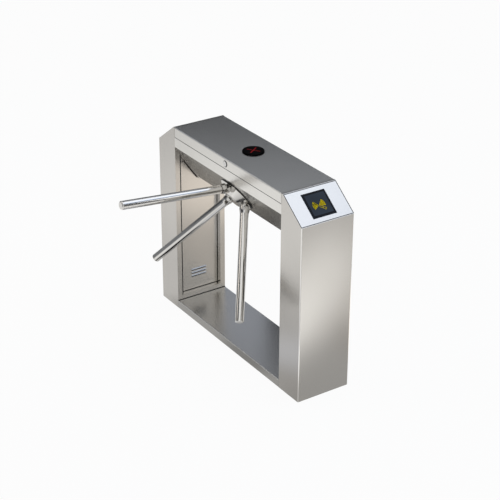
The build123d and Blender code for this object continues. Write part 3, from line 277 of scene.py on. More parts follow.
@dataclass(frozen=True)
class ZincPlate(Finish):
    """Zinc-plated steel: a dull grey with faint pale and dark crystals in its gloss."""

    tone: str = "#B4B5AF"
    shade: str = "#9C9D98"
    roughness: float = 0.36
    swing: float = 0.08
    crystal_mm: float = 7.0

    def surface(self, tree: Tree) -> Socket:
        """Build the crystals and the plating.

        Args:
            tree: its node tree.

        Returns:
            Its shader.
        """
        place = add(tree, "TexCoord").outputs["Object"]
        cells = add(tree, "TexVoronoi", {"Vector": place, "Scale": per_metre(self.crystal_mm)})
        grey = add(tree, "RGBToBW", {"Color": cells.outputs["Color"]}).outputs["Val"]
        mixed = {FACTOR: grey, FIRST: srgb(self.tone), SECOND: srgb(self.shade)}
        colour = add(tree, "Mix", mixed, data_type="RGBA")
        spread = {"Value": grey, "To Min": self.roughness - self.swing, "To Max": self.roughness + self.swing}
        rough = add(tree, "MapRange", spread)
        plate = {"Base Color": colour.outputs[BLEND], "Metallic": 1.0, "Roughness": rough.outputs["Result"]}
        return add(tree, "BsdfPrincipled", plate).outputs["BSDF"]


@dataclass(frozen=True)
class Moulded(Finish):
    """Moulded plastic or rubber, or baked enamel: one colour with the mould's or the paint's fine texture."""

    tone: str = "#101010"
    shade: str = "#161616"
    roughness: float = 0.5
    texture_mm: float = 1.2
    depth_mm: float = 0.03
    specular: float = 0.5
    coat: float = 0.0
    relief: float = 0.4

    def surface(self, tree: Tree) -> Socket:
        """Build the texture and the plastic.

        Args:
            tree: its node tree.

        Returns:
            Its shader.
        """
        place = add(tree, "TexCoord").outputs["Object"]
        texture = {"Vector": place, "Scale": per_metre(self.texture_mm), "Detail": 2.0}
        pores = add(tree, "TexNoise", texture).outputs["Fac"]
        mixed = {FACTOR: pores, FIRST: srgb(self.tone), SECOND: srgb(self.shade)}
        colour = add(tree, "Mix", mixed, data_type="RGBA")
        relief = {"Height": pores, "Strength": self.relief, "Distance": self.depth_mm * MM}
        body = {
            "Base Color": colour.outputs[BLEND],
            "Roughness": self.roughness,
            "Specular IOR Level": self.specular,
            "Coat Weight": self.coat,
            "Normal": add(tree, "Bump", relief).outputs["Normal"],
        }
        return add(tree, "BsdfPrincipled", body).outputs["BSDF"]


@dataclass(frozen=True)
class SolderMask(Finish):
    """Green lacquer on a circuit board: glossy, with paler tracks that show through it."""

    tone: str = "#0C4A24"
    track: str = "#1C7A3E"
    track_mm: float = 3.0
    track_edge: Pair = (0.5, 0.6)
    roughness: float = 0.3

    def surface(self, tree: Tree) -> Socket:
        """Build the tracks and the lacquer.

        Args:
            tree: its node tree.

        Returns:
            Its shader.
        """
        place = add(tree, "TexCoord").outputs["Object"]
        maze = {"Vector": place, "Scale": per_metre(self.track_mm)}
        cells = add(tree, "TexVoronoi", maze, distance="MANHATTAN")
        start, end = self.track_edge
        ramp = {"Value": cells.outputs["Distance"], "From Min": start, "From Max": end}
        edge = add(tree, "MapRange", ramp).outputs["Result"]
        mixed = {FACTOR: edge, FIRST: srgb(self.tone), SECOND: srgb(self.track)}
        colour = add(tree, "Mix", mixed, data_type="RGBA")
        board = {"Base Color": colour.outputs[BLEND], "Roughness": self.roughness}
        return add(tree, "BsdfPrincipled", board).outputs["BSDF"]


@dataclass(frozen=True)
class PrintedInk(Finish):
    """Screen-printed ink: flat and rough, a little thin in places, with a faint painted glow in its own colour."""

    tone: str = "#F0DC00"
    thin: str = "#DCC800"
    blot_mm: float = 3.0
    roughness: float = 0.7
    specular: float = 0.1
    # Strength of the painted glow that brightens the ink.
    light: float = 0.12

    def surface(self, tree: Tree) -> Socket:
        """Build the ink.

        Args:
            tree: its node tree.

        Returns:
            Its shader.
        """
        place = add(tree, "TexCoord").outputs["Object"]
        blots = add(tree, "TexNoise", {"Vector": place, "Scale": per_metre(self.blot_mm)})
        mixed = {FACTOR: blots.outputs["Fac"], FIRST: srgb(self.tone), SECOND: srgb(self.thin)}
        ink = {
            "Base Color": add(tree, "Mix", mixed, data_type="RGBA").outputs[BLEND],
            "Roughness": self.roughness,
            "Specular IOR Level": self.specular,
            # Painted glow: the ink gives off a little light of its own colour.
            "Emission Color": srgb(self.tone),
            "Emission Strength": self.light,
        }
        return add(tree, "BsdfPrincipled", ink).outputs["BSDF"]


@dataclass(frozen=True)
class LedGlow(Finish):
    """Light-emitting diodes seen through smoked acrylic: a deep red glow, brightest in the middle."""

    tone: str = "#E00A12"
    strength: float = 0.8
    rim: str = "#500006"
    lens: str = "#200204"
    roughness: float = 0.3
    falloff: float = 0.3

    def surface(self, tree: Tree) -> Socket:
        """Build the glow.

        Args:
            tree: its node tree.

        Returns:
            Its shader.
        """
        facing = add(tree, "LayerWeight", {"Blend": self.falloff}).outputs["Facing"]
        mixed = {FACTOR: facing, FIRST: srgb(self.tone), SECOND: srgb(self.rim)}
        glow = add(tree, "Mix", mixed, data_type="RGBA").outputs[BLEND]
        dome = {"Base Color": srgb(self.lens), "Roughness": self.roughness}
        dome |= {"Emission Color": glow, "Emission Strength": self.strength}
        return add(tree, "BsdfPrincipled", dome).outputs["BSDF"]


@dataclass(frozen=True)
class PaperSweep(Finish):
    """Matt white studio paper: white to the camera and in reflections, and it still takes a soft shadow."""

    tone: str = "#F4F4F4"
    glow: float = 0.94

    def surface(self, tree: Tree) -> Socket:
        """Build the paper with its even white glow.

        Args:
            tree: its node tree.

        Returns:
            Its shader.
        """
        seen = {0: seen_rays(tree), 1: self.glow}
        share = add(tree, "Math", seen, operation="MULTIPLY").outputs[0]
        paper = add(tree, "BsdfDiffuse", {"Color": srgb(self.tone)}).outputs["BSDF"]
        white = add(tree, "Emission", {"Color": srgb("#FFFFFF"), "Strength": 1.0}).outputs["Emission"]
        return add(tree, "MixShader", {0: share, 1: paper, 2: white}).outputs["Shader"]


@dataclass(frozen=True)
class StudioCloth(Finish):
    """Cloth of a studio card or curtain, graded from its foot to its top, for polished metal to mirror."""

    low: str
    high: str
    start: float
    reach: float
    level: float = 1.0

    def surface(self, tree: Tree) -> Socket:
        """Build the even light that comes back from the cloth.

        Args:
            tree: its node tree.

        Returns:
            Its shader.
        """
        place = add(tree, "TexCoord").outputs["Object"]
        height = add(tree, "SeparateXYZ", {"Vector": place}).outputs["Z"]
        ramp = {"Value": height, "From Min": self.start, "From Max": self.reach}
        rise = add(tree, "MapRange", ramp).outputs["Result"]
        mixed = {FACTOR: rise, FIRST: srgb(self.low), SECOND: srgb(self.high)}
        colour = add(tree, "Mix", mixed, data_type="RGBA").outputs[BLEND]
        return add(tree, "Emission", {"Color": colour, "Strength": self.level}).outputs["Emission"]


# Brushed sheet: direction of the grain and two tones.
# Columns and doors: a mid grey satin that hangs in upright streaks, a darker copy of the lid's sheet whose lower
# tone is painted shade.
SHEET_UPRIGHT_PAINTED_SHADE = BrushedStainless("stainless_sheet_brushed_upright", Grain.UPRIGHT, "#C1BEB9", "#BBB8B3")
# Lid, beam and reader panels: a paler satin along the cabinet.
SHEET_LENGTHWISE = BrushedStainless("stainless_sheet_brushed_lengthwise", Grain.LENGTHWISE)
# Ends of the columns: a warm satin across the cabinet, a little darker than the lid's sheet, its lower tone
# painted shade.
SHEET_CROSSWISE_PAINTED_SHADE = BrushedStainless("stainless_sheet_brushed_crosswise", Grain.CROSSWISE, "#CBC8C3", "#C5C2BC")
# Base: a darker copy of the lid's sheet; the lower tone is painted shade.
BASE_SHEET_PAINTED_SHADE = BrushedStainless("stainless_sheet_base_painted_shade", Grain.LENGTHWISE, "#BEBCB8", "#B6B4B0")

# Bare metals: tone, roughness and its swing, size of the marks and their depth in mm.
# Arms: a near mirror that draws the room out into long bands.
TUBE = BarMetal("stainless_tube_polished", "#DAD8D4", 0.14, 0.02, 8.0)
# Roots of the arms: bright, and a little uneven from the tool.
FORGED = BarMetal("stainless_knuckle_machined", "#CBC9C5", 0.16, 0.04, 3.0, 0.004)
# Folds and jambs: handled edges worn smoother, and a bright tone that paints a highlight line on the folds and
# light over the shade of the jambs.
FOLD_WORN_AND_PAINTED_BRIGHT = BarMetal("stainless_fold_worn_bright", "#F0EEEA", 0.14, 0.03, 5.0)
# Root of the top arm: a dark tone that paints a dark reflection on it.
KNUCKLE_PAINTED_DARK = BarMetal("steel_knuckle_painted_dark_reflection", "#7A7672", 0.18, 0.04, 3.0, 0.004)
# Hub: bright, with fine turning marks.
HUB = BarMetal("aluminium_hub_cast_and_turned", "#D2D0CC", 0.15, 0.03, 1.2, 0.004)
# Shaft, gears and hinges: dull silver with tool marks.
MACHINED = BarMetal("steel_machined", "#B2B0AD", 0.26, 0.06, 2.0, 0.01)
# Bearings, rod and plungers: smooth and bright.
GROUND = BarMetal("bearing_steel_ground", "#C4C4C6", 0.12, 0.03, 4.0)
# Locks: a bright skin with soft speckles.
PLATED = BarMetal("zinc_lock_bright_plated", "#C9C8C6", 0.15, 0.04, 2.0)
# Case of the supply: pale and dull from the rolling mill.
MILL = BarMetal("aluminium_mill_finish", "#B8B9BA", 0.34, 0.06, 10.0, 0.01)
# Plates, screws, pawls and tray: a grey speckle.
ZINC = ZincPlate("steel_zinc_plated")

# Plastics, rubber and enamel: two tones, roughness, size and depth of the texture in mm, specular, coat.
# Reader windows: a blue-black gloss that changes slowly across.
WINDOW = Moulded("acrylic_window_smoked", "#141C26", "#36424F", 0.12, 90.0, 0.0, 0.14)
# Borders of the windows: a denser black.
BORDER = Moulded("acrylic_border_printed_black", "#080B10", "#0C1017", 0.2, 20.0, 0.0, 0.1)
# Indicator: black where it isn't lit.
LENS = Moulded("acrylic_lens_black", "#020202", "#040404", 0.3, 40.0, 0.0, 0.02)
# Seals: a matt black line.
RUBBER = Moulded("rubber_moulded", "#0C0C0C", "#141414", 0.62, 1.4, 0.05)
# Joints at the base: a dull dark line.
SEALANT = Moulded("sealant_tooled_grey", "#2A2A2A", "#303030", 0.7, 2.0, 0.03)
# Motor and solenoids: satin black with some orange peel.
ENAMEL = Moulded("steel_black_enamel", "#121214", "#18181A", 0.38, 2.5, 0.04, 0.5, 0.2)
# Housings: black with a fine spark texture.
ABS = Moulded("abs_moulded_black", "#151515", "#1B1B1B", 0.48, 0.8, 0.03)
# Relays and terminals: the plain blue and green of such parts.
RELAY = Moulded("relay_case_moulded_blue", "#173C78", "#1A4484", 0.35, 1.0, 0.01)
TERMINAL = Moulded("terminal_block_moulded_green", "#1F7A45", "#23854C", 0.4, 1.0, 0.02)

# Boards: a green gloss over paler tracks.
BOARD = SolderMask("glass_laminate_solder_mask")
# Signs: flat yellow, a little uneven, with a faint painted glow.
SIGN_INK_PAINTED_GLOW = PrintedInk("yellow_screen_ink_painted_glow")
# LED cross: one leg glows, the other glimmers.
GLOW = LedGlow("red_led_glow", "#E00810", 1.0)
GLIMMER = LedGlow("red_led_glimmer", "#D00408", 0.75)


def wear(finish: Finish, *nodes: str) -> None:
    """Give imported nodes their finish.

    Args:
        finish: finish of all their faces.
        nodes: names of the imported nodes.
    """
    for node in nodes:
        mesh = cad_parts[node].data
        mesh.materials.clear()
        mesh.materials.append(finish.material())
        LOG.info("%s wears %s", node, finish.name)


def wear_part(node: str, finish: Finish, inside: Callable[[Face], bool]) -> None:
    """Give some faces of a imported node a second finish.

    Args:
        node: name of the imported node.
        finish: finish of the chosen faces.
        inside: says of a face whether it takes the finish.
    """
    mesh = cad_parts[node].data
    mesh.materials.append(finish.material())
    number = len(mesh.materials) - 1
    for face in mesh.polygons:
        if inside(face):
            face.material_index = number


def cut(name: str, mesh: Mesh, finish: Finish) -> bpy.types.Object:
    """Turn a mesh into an object.

    Args:
        name: name of the object.
        mesh: its mesh; it is freed here.
        finish: its finish.

    Returns:
        The new object.
    """
    data = bpy.data.meshes.new(name)
    mesh.to_mesh(data)
    mesh.free()
    data.materials.append(finish.material())
    made = bpy.data.objects.new(name, data)
    bpy.context.scene.collection.objects.link(made)
    return made


def piece(name: str, mesh: Mesh, finish: Finish, body: str) -> bpy.types.Object:
    """Turn a mesh into a piece that rides on a body.

    Args:
        name: name of the piece.
        mesh: its mesh in the frame of the model; it is freed here.
        finish: its finish.
        body: the body that it rides on.

    Returns:
        The new object.
    """
    bmesh.ops.recalc_face_normals(mesh, faces=mesh.faces)
    made = cut(name, mesh, finish)
    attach(made, body)
    LOG.info("%s rides on %s", name, body)
    return made


def on_level_fold(face: Face) -> bool:
    """Say whether a face lies on the round of a fold between a top and an upright face."""
    return abs(face.normal.y) > FOLD_LEAN and face.normal.z > FOLD_LEAN


def on_upright_fold(face: Face) -> bool:
    """Say whether a face lies on the round of an upright fold."""
    return abs(face.normal.x) > FOLD_LEAN and abs(face.normal.y) > FOLD_LEAN


def strip(mesh: Mesh, path: list[Vector], section: list[Pair], out: Vector) -> None:
    """Sweep a closed section along a flat path with mitred corners; a path that ends where it starts is a loop.

    Args:
        mesh: mesh that the strip is added to.
        path: corners of the path.
        section: points of the section, as the distance to the left of the path and the height along out.
        out: direction in which the strip stands on its ground.
    """
    loop = (path[0] - path[-1]).length < SKIN
    points = path[:-1] if loop else path
    runs = [(b - a).normalized() for a, b in zip(path, path[1:])]
    rings = []
    for i, point in enumerate(points):
        before = out.cross(runs[i - 1] if i or loop else runs[0])
        after = out.cross(runs[i] if i < len(runs) else runs[-1])
        mitre = (before + after) / (1 + before.dot(after))
        rings.append([mesh.verts.new(point + mitre * across + out * up) for across, up in section])
    for one, two in zip(rings, rings[1:] + rings[:1] if loop else rings[1:]):
        for j in range(len(section)):
            k = (j + 1) % len(section)
            mesh.faces.new((one[j], one[k], two[k], two[j]))
    if not loop:
        mesh.faces.new(reversed(rings[0]))
        mesh.faces.new(rings[-1])


def bead(low: float, high: float, foot: float, top: float, steps: int = 5) -> list[Pair]:
    """Draw the section of a strip with a flat foot and a round back.

    Args:
        low: start of the section across the path.
        high: end of the section across the path.
        foot: height of its foot.
        top: height of its back.
        steps: faces of its round back.

    Returns:
        The points of the section.
    """
    middle, half = (low + high) / 2, (high - low) / 2
    back = []
    for i in range(steps + 1):
        angle = math.pi * i / steps
        rise = BEAD_SIDE + (1 - BEAD_SIDE) * math.sin(angle)
        back.append((middle + half * math.cos(angle), foot + (top - foot) * rise))
    return [*back, (low, foot), (high, foot)]


@dataclass(frozen=True)
class Cabinet:
    """Columns, base and beam of folded sheet, with their seals and what fixes them to each other and the floor."""

    rim: float = 0.010
    seal_front: float = 0.0027
    seal_back: float = 0.0024
    seal_inset: float = 0.0005
    bead_wide: float = 0.003

    def lid_seal(self) -> None:
        """Lay a rubber strip on the rim under the front and back of the lid."""
        low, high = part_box("beam_front_panel")
        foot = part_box("beam_back_panel")[1].z
        section = [(0, SKIN), (self.rim, SKIN), (self.rim, self.seal_back), (0, self.seal_front)]
        mesh = bmesh.new()
        for side, start, end in ((1, low.x, high.x), (-1, high.x, low.x)):
            ends = [Vector((x, side * (low.y + self.seal_inset), foot)) for x in (start, end)]
            strip(mesh, ends, section, UP)
        piece("lid_seal", mesh, RUBBER, "cabinet")

    def base_beads(self) -> None:
        """Run a bead of sealant where the base meets each column."""
        low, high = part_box("base_cover")
        section = bead(0.0, self.bead_wide, SKIN, self.bead_wide / 2)
        mesh = bmesh.new()
        for x, way in ((low.x, 1), (high.x, -1)):
            strip(mesh, [Vector((x, y, high.z)) for y in (way * high.y, -way * high.y)], section, UP)
        piece("base_sealant", mesh, SEALANT, "cabinet")

    def dress(self) -> None:
        """Give the cabinet's nodes their finishes and lay its seals."""
        wear(SHEET_UPRIGHT_PAINTED_SHADE, "column_frames", "column_side_panels")
        wear(SHEET_CROSSWISE_PAINTED_SHADE, "column_end_panels")
        wear(SHEET_LENGTHWISE, "reader_panels")
        wear(SHEET_LENGTHWISE, "beam_front_panel", "beam_floor_panel", "beam_back_panel", "beam_end_walls")
        # The base's darker sheet is painted shade.
        wear(BASE_SHEET_PAINTED_SHADE, "base_cover")
        # Rounds of the folds take the bright fold finish: wear and a painted highlight.
        wear_part("column_end_panels", FOLD_WORN_AND_PAINTED_BRIGHT, on_upright_fold)
        wear_part("column_frames", SHEET_CROSSWISE_PAINTED_SHADE, lambda face: face.normal.z > FACING)
        wear_part("base_cover", FOLD_WORN_AND_PAINTED_BRIGHT, on_level_fold)
        self.lid_seal()
        self.base_beads()
        wear(ZINC, "base_tray", "beam_bolts")
        wear(MACHINED, "foot_plates")
        wear(RUBBER, "cable_grommets", "hub_seal_ring")


@dataclass(frozen=True)
class Readers:
    """Dark reader windows on the slopes, each with a plain sign of radio waves and a card."""

    slope_run: float = 0.143
    slope_drop: float = 0.107
    slope_lip: float = 0.004
    joint_wide: float = 0.0032
    joint_proud: float = 0.0006
    proud: float = 0.0025
    ink_depth: float = 0.0002
    border_outer: float = 0.060
    border_inner: float = 0.0515
    border_steps: int = 3
    start: Pair = (-0.0046, -0.007)
    # Each fan of waves: its heading and half its angle in degrees, and its reach.
    fans: tuple[Triple, ...] = ((172.0, 41.0, 0.0315), (16.0, 31.0, 0.0355))
    waves: int = 5
    wave_first: float = 0.003
    wave_share: float = 0.86
    card_long: float = 0.034
    card_wide: float = 0.012
    card_bar: float = 0.0028
    card_lean: float = -39.7
    card_place: Pair = (0.0155, -0.0135)
    steps: int = 14

    def face(self, side: Side) -> Matrix:
        """Find the frame of a window's face: X along the cabinet's width, Y up the slope, Z outwards.

        Args:
            side: end of the cabinet.

        Returns:
            The frame as a matrix.
        """
        sign = side.value
        high = Vector((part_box("column_end_panels")[1].x, 0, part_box("column_frames")[1].z))
        outwards = Vector((sign * self.slope_drop, 0, self.slope_run)).normalized()
        across = Vector((0, sign, 0))
        upwards = outwards.cross(across)
        middle = Vector((sign * (high.x - self.slope_run / 2), 0, high.z - self.slope_drop / 2))
        turn = Matrix((across, upwards, outwards)).transposed().to_4x4()
        return Matrix.Translation(middle + outwards * self.proud) @ turn

    def fan(self, mesh: Mesh, heading: float, spread: float, reach: float) -> None:
        """Add one fan of arched bands of ink.

        Args:
            mesh: mesh of the sign.
            heading: direction in which the waves spread, in degrees.
            spread: angle to either side of it, in degrees.
            reach: outer radius of the last band.
        """
        start = Vector((*self.start, 0))
        pitch = (reach - self.wave_first) / self.waves
        for i in range(self.waves):
            inner = self.wave_first + i * pitch
            rings = []
            for step in range(self.steps + 1):
                angle = math.radians(heading + spread * (2 * step / self.steps - 1))
                way = Vector((math.cos(angle), math.sin(angle), 0))
                rings.append([mesh.verts.new(start + way * r) for r in (inner, inner + self.wave_share * pitch)])
            for (a, b), (c, d) in zip(rings, rings[1:]):
                mesh.faces.new((a, b, d, c))

    def card(self, mesh: Mesh) -> None:
        """Add the sign's card, a leaning frame with a bar across its middle.

        Args:
            mesh: mesh of the sign.
        """
        turn = Matrix.Rotation(math.radians(self.card_lean), 3, "Z")
        middle = Vector((self.start[0] + self.card_place[0], self.start[1] + self.card_place[1], 0))
        end, bar, top = self.card_long / 2, self.card_bar, self.card_wide / 2
        across = (-end, bar - end, -bar / 2, bar / 2, end - bar, end)
        along = (-top, bar - top, top - bar, top)
        grid = [[mesh.verts.new(middle + turn @ Vector((x, y, 0))) for y in along] for x in across]
        for i in range(len(across) - 1):
            for j in range(len(along) - 1):
                # The middle row has ink only in its end columns and its bar, which are the even ones.
                if j != 1 or i % 2 == 0:
                    mesh.faces.new((grid[i][j], grid[i + 1][j], grid[i + 1][j + 1], grid[i][j + 1]))

    def sign(self, side: Side) -> None:
        """Print the sign on one window.

        Args:
            side: end of the cabinet.
        """
        mesh = bmesh.new()
        for heading, spread, reach in self.fans:
            self.fan(mesh, heading, spread, reach)
        self.card(mesh)
        bmesh.ops.solidify(mesh, geom=list(mesh.faces), thickness=-self.ink_depth)
        mesh.transform(self.face(side))
        piece(f"{side.word}_reader_sign", mesh, SIGN_INK_PAINTED_GLOW, "cabinet")

    def border(self, side: Side) -> None:
        """Print the black border round one window.

        Args:
            side: end of the cabinet.
        """
        path = [Vector((i * self.border_outer, j * self.border_outer, 0)) for i, j in SQUARE]
        wide = self.border_outer - self.border_inner
        mesh = bmesh.new()
        strip(mesh, path, bead(0.0, wide, SKIN, self.ink_depth, self.border_steps), UP)
        mesh.transform(self.face(side))
        piece(f"{side.word}_reader_border", mesh, BORDER, "cabinet")

    def gasket(self, side: Side) -> None:
        """Lay a thin rubber line over the joint round one reader panel.

        Args:
            side: end of the cabinet.
        """
        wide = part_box("column_frames")[1].y
        high = math.hypot(self.slope_run, self.slope_drop) / 2 - self.slope_lip
        path = [Vector((i * wide, j * high, -self.proud)) for i, j in SQUARE]
        half = self.joint_wide / 2
        mesh = bmesh.new()
        strip(mesh, path, bead(-half, half, SKIN, self.joint_proud), UP)
        mesh.transform(self.face(side))
        piece(f"{side.word}_reader_gasket", mesh, RUBBER, "cabinet")

    def dress(self) -> None:
        """Finish the windows, seal their panels and print their signs."""
        wear(ABS, "reader_modules")
        wear(WINDOW, "reader_windows")
        for side in Side:
            self.gasket(side)
            self.border(side)
            self.sign(side)


@dataclass(frozen=True)
class Doors:
    """Louvred doors in the inner faces of the columns, with their hinges and quarter-turn locks."""

    bush_radius: float = 0.0128
    half: float = 0.113
    sill: float = 0.065
    corner: float = 0.833
    plate_set_back: float = 0.029
    plate_thick: float = 0.002
    plate_foot: float = 0.7815
    plate_end: float = -0.0765
    plate_share: float = 0.985
    trim_wide: float = 0.003
    trim_deep: float = 0.006
    trim_proud: float = 0.0005
    trim_gap: float = 0.00005
    trim_bevel: float = 0.001

    def trim(self, side: Side) -> None:
        """Fit a rubber edge trim to the hinge side of one doorway.

        Args:
            side: end of the cabinet.
        """
        inner = side.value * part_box("beam_floor_panel")[1].x
        ends = [Vector((inner, -self.half, z)) for z in (self.sill, self.corner)]
        gap, wide, bevel = self.trim_gap, self.trim_wide, self.trim_bevel
        deep, proud = -self.trim_deep, self.trim_proud
        edge = [(gap, deep), (gap, proud), (wide - bevel, proud), (wide, proud - bevel), (wide, deep)]
        mesh = bmesh.new()
        section = [(-across, up) for across, up in edge]
        strip(mesh, ends[:: -side.value], section, Vector((-side.value, 0, 0)))
        piece(f"{side.word}_doorway_trim", mesh, RUBBER, "cabinet")

    def corner_plate(self, side: Side) -> None:
        """Close the sharp corner of one doorway above the level end of its door.

        Args:
            side: end of the cabinet.
        """
        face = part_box("beam_floor_panel")[1].x + self.plate_set_back
        shape = [(-self.half, self.plate_foot), (-self.half, self.corner), (self.plate_end, self.plate_foot)]
        corners = [Vector(point) for point in shape]
        middle = sum(corners, Vector((0, 0))) / len(corners)
        inset = [middle.lerp(point, self.plate_share) for point in corners]
        mesh = bmesh.new()
        front, back = (
            [mesh.verts.new((side.value * x, *point)) for point in inset] for x in (face, face + self.plate_thick)
        )
        mesh.faces.new(front)
        mesh.faces.new(back[::-1])
        for i in range(len(corners)):
            mesh.faces.new((front[i - 1], back[i - 1], back[i], front[i]))
        piece(f"{side.word}_doorway_corner_plate", mesh, SHEET_UPRIGHT_PAINTED_SHADE, "cabinet")

    def on_jamb(self, face: Face) -> bool:
        """Say whether a face of a column lies on an upright side of its doorway."""
        return abs(face.normal.y) > FACING and abs(abs(face.center.y) - self.half) < MM

    def dress(self) -> None:
        """Finish the doors, their bushes, hinges and locks, and trim their doorways."""
        wear(MACHINED, "door_hinges")
        # Jambs take the bright fold finish, a painted light over the shade of the recess.
        wear_part("column_frames", FOLD_WORN_AND_PAINTED_BRIGHT, self.on_jamb)
        wear_part("column_side_panels", FOLD_WORN_AND_PAINTED_BRIGHT, self.on_jamb)
        low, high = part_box("right_door_lock")
        radius = (high.y - low.y) / 2
        lock = Vector((low.y + radius, high.z - radius))
        for side in Side:
            wear(SHEET_UPRIGHT_PAINTED_SHADE, f"{side.word}_door")
            wear_part(f"{side.word}_door", PLATED, lambda face: (face.center.yz - lock).length < self.bush_radius)
            wear(PLATED, f"{side.word}_door_lock")
        for fit in (self.trim, self.corner_plate):
            for side in Side:
                fit(side)


@dataclass(frozen=True)
class Lid:
    """Hinged lid of the beam, with its lock and the round indicator with an LED cross."""

    led_radius: float = 0.0022
    led_pitch: float = 0.0075
    led_per_leg: int = 4
    led_turn: float = 33.5
    led_height: float = 0.0005
    # Rings of a dome: shares of its radius and of its height.
    led_rings: tuple[Pair, ...] = ((0.6, 0.75), (1.0, 0.0))
    led_steps: int = 12
    gasket_inner: float = 0.0127
    gasket_outer: float = 0.0160
    gasket_thick: float = 0.0012
    gasket_steps: int = 48

    def lock_gasket(self) -> None:
        """Set a rubber ring between the lid and the rim of its lock."""
        low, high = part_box("lid_lock_barrel")
        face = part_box("lid_cover")[0].y
        section = bead(0.0, self.gasket_outer - self.gasket_inner, SKIN, self.gasket_thick)
        circle = [2 * math.pi * i / self.gasket_steps for i in range(self.gasket_steps)]
        middle = Vector(((low.x + high.x) / 2, face, (low.z + high.z) / 2))
        path = [middle + self.gasket_outer * Vector((math.cos(a), 0, math.sin(a))) for a in circle]
        mesh = bmesh.new()
        strip(mesh, [*path, path[0]], section, Vector((0, -1, 0)))
        made = piece("lid_lock_gasket", mesh, RUBBER, "lid")
        made.data.shade_smooth()

    def led(self, mesh: Mesh, spot: Vector) -> None:
        """Add one low dome of light on the lens.

        Args:
            mesh: mesh of the leg that it belongs to.
            spot: its middle on the lens.
        """
        top = mesh.verts.new(spot + UP * self.led_height)
        angles = [2 * math.pi * i / self.led_steps for i in range(self.led_steps)]
        rings = []
        for share, rise in self.led_rings:
            radius, height = self.led_radius * share, self.led_height * rise
            ring = [Vector((radius * math.cos(a), radius * math.sin(a), height)) for a in angles]
            rings.append([mesh.verts.new(spot + point) for point in ring])
        inner, outer = rings
        for i in range(self.led_steps):
            j = (i + 1) % self.led_steps
            mesh.faces.new((top, inner[i], inner[j]))
            mesh.faces.new((inner[i], outer[i], outer[j], inner[j]))
        mesh.faces.new(reversed(outer))

    def cross(self) -> None:
        """Build the LED cross on the lens; its middle lamp belongs to the bright leg."""
        low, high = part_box("indicator_lens")
        middle = Vector(((low.x + high.x) / 2, (low.y + high.y) / 2, high.z))
        for name, turn, finish in (("bright", 90, GLOW), ("dim", 0, GLIMMER)):
            mesh = bmesh.new()
            angle = math.radians(self.led_turn + turn)
            way = Vector((math.cos(angle), math.sin(angle), 0))
            for step in range(-self.led_per_leg, self.led_per_leg + 1):
                if step or turn:
                    self.led(mesh, middle + way * (step * self.led_pitch))
            made = piece(f"indicator_leds_{name}", mesh, finish, "lid")
            made.data.shade_smooth()

    def dress(self) -> None:
        """Finish the lid, its hinge, lock and indicator."""
        wear(SHEET_LENGTHWISE, "lid_cover")
        # The lid's folds take the bright fold finish: wear and a painted highlight.
        wear_part("lid_cover", FOLD_WORN_AND_PAINTED_BRIGHT, on_level_fold)
        wear(MACHINED, "lid_hinge")
        wear(PLATED, "lid_lock_barrel", "lid_lock_core")
        wear(LENS, "indicator_lens")
        wear(BOARD, "indicator_board")
        self.lock_gasket()
        self.cross()


@dataclass(frozen=True)
class Tripod:
    """Hub and arms."""

    root: float = 0.034

    def dress(self) -> None:
        """Finish the hub, the arms and their pivots."""
        wear(HUB, "tripod_hub")
        wear(TUBE, "hub_cap", "top_arm_tube", "lower_arm_tubes", "top_arm_cap", "lower_arm_caps")
        wear(MACHINED, "arm_pivot_pins")
        wear(FORGED, "top_arm_knuckle", "lower_arm_knuckles")
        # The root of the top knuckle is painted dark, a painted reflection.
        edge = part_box("top_arm_knuckle")[0].y + self.root
        wear_part("top_arm_knuckle", KNUCKLE_PAINTED_DARK, lambda face: face.center.y < edge)


@dataclass(frozen=True)
class Mechanism:
    """Shaft, bearings, gears, pawls and solenoids behind the sloped face."""

    def dress(self) -> None:
        """Finish the pieces of the mechanism by what they are made of."""
        wear(ZINC, "mechanism_plates", "mechanism_screws", "shaft_nuts", "left_pawl", "right_pawl")
        wear(MACHINED, "mechanism_pillars", "bearing_housing", "main_shaft", "drive_gear", "drive_pinion")
        wear(MACHINED, "index_disc", "encoder_disc")
        wear(GROUND, "bearing_outer_rings", "bearing_inner_rings", "bearing_balls")
        wear(GROUND, "drop_rod", "left_plunger", "right_plunger")
        wear(ENAMEL, "drive_motor", "lock_solenoids", "drop_solenoid")
        wear(ABS, "position_sensor")


@dataclass(frozen=True)
class Electronics:
    """Control board and power supply."""

    board_top: float = 0.00185
    row_depth: float = 0.015
    supply_row: float = 0.014

    def dress(self) -> None:
        """Finish the board with its parts, and the supply with its terminals."""
        wear(BOARD, "control_board")
        low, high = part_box("control_board")
        top, middle, row = low.z + self.board_top, (low.y + high.y) / 2, low.y + self.row_depth
        wear_part("control_board", ABS, lambda face: face.center.z > top)
        wear_part("control_board", RELAY, lambda face: face.center.z > top and face.center.y > middle)
        wear_part("control_board", TERMINAL, lambda face: face.center.z > top and face.center.y < row)
        wear(MILL, "power_supply")
        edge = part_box("power_supply")[0].z + self.supply_row
        wear_part("power_supply", ABS, lambda face: face.center.z < edge)


def hang(name: str, mesh: Mesh, finish: Finish, place: Vector) -> None:
    """Turn a mesh into a piece of the studio that only reflections see.

    Args:
        name: name of the piece.
        mesh: its mesh; it is freed here.
        finish: its finish.
        place: where its origin goes.
    """
    card = cut(name, mesh, finish)
    card.location = place
    card.visible_camera = False
    card.visible_shadow = False
    card.visible_diffuse = False
    LOG.info("studio piece %s", name)


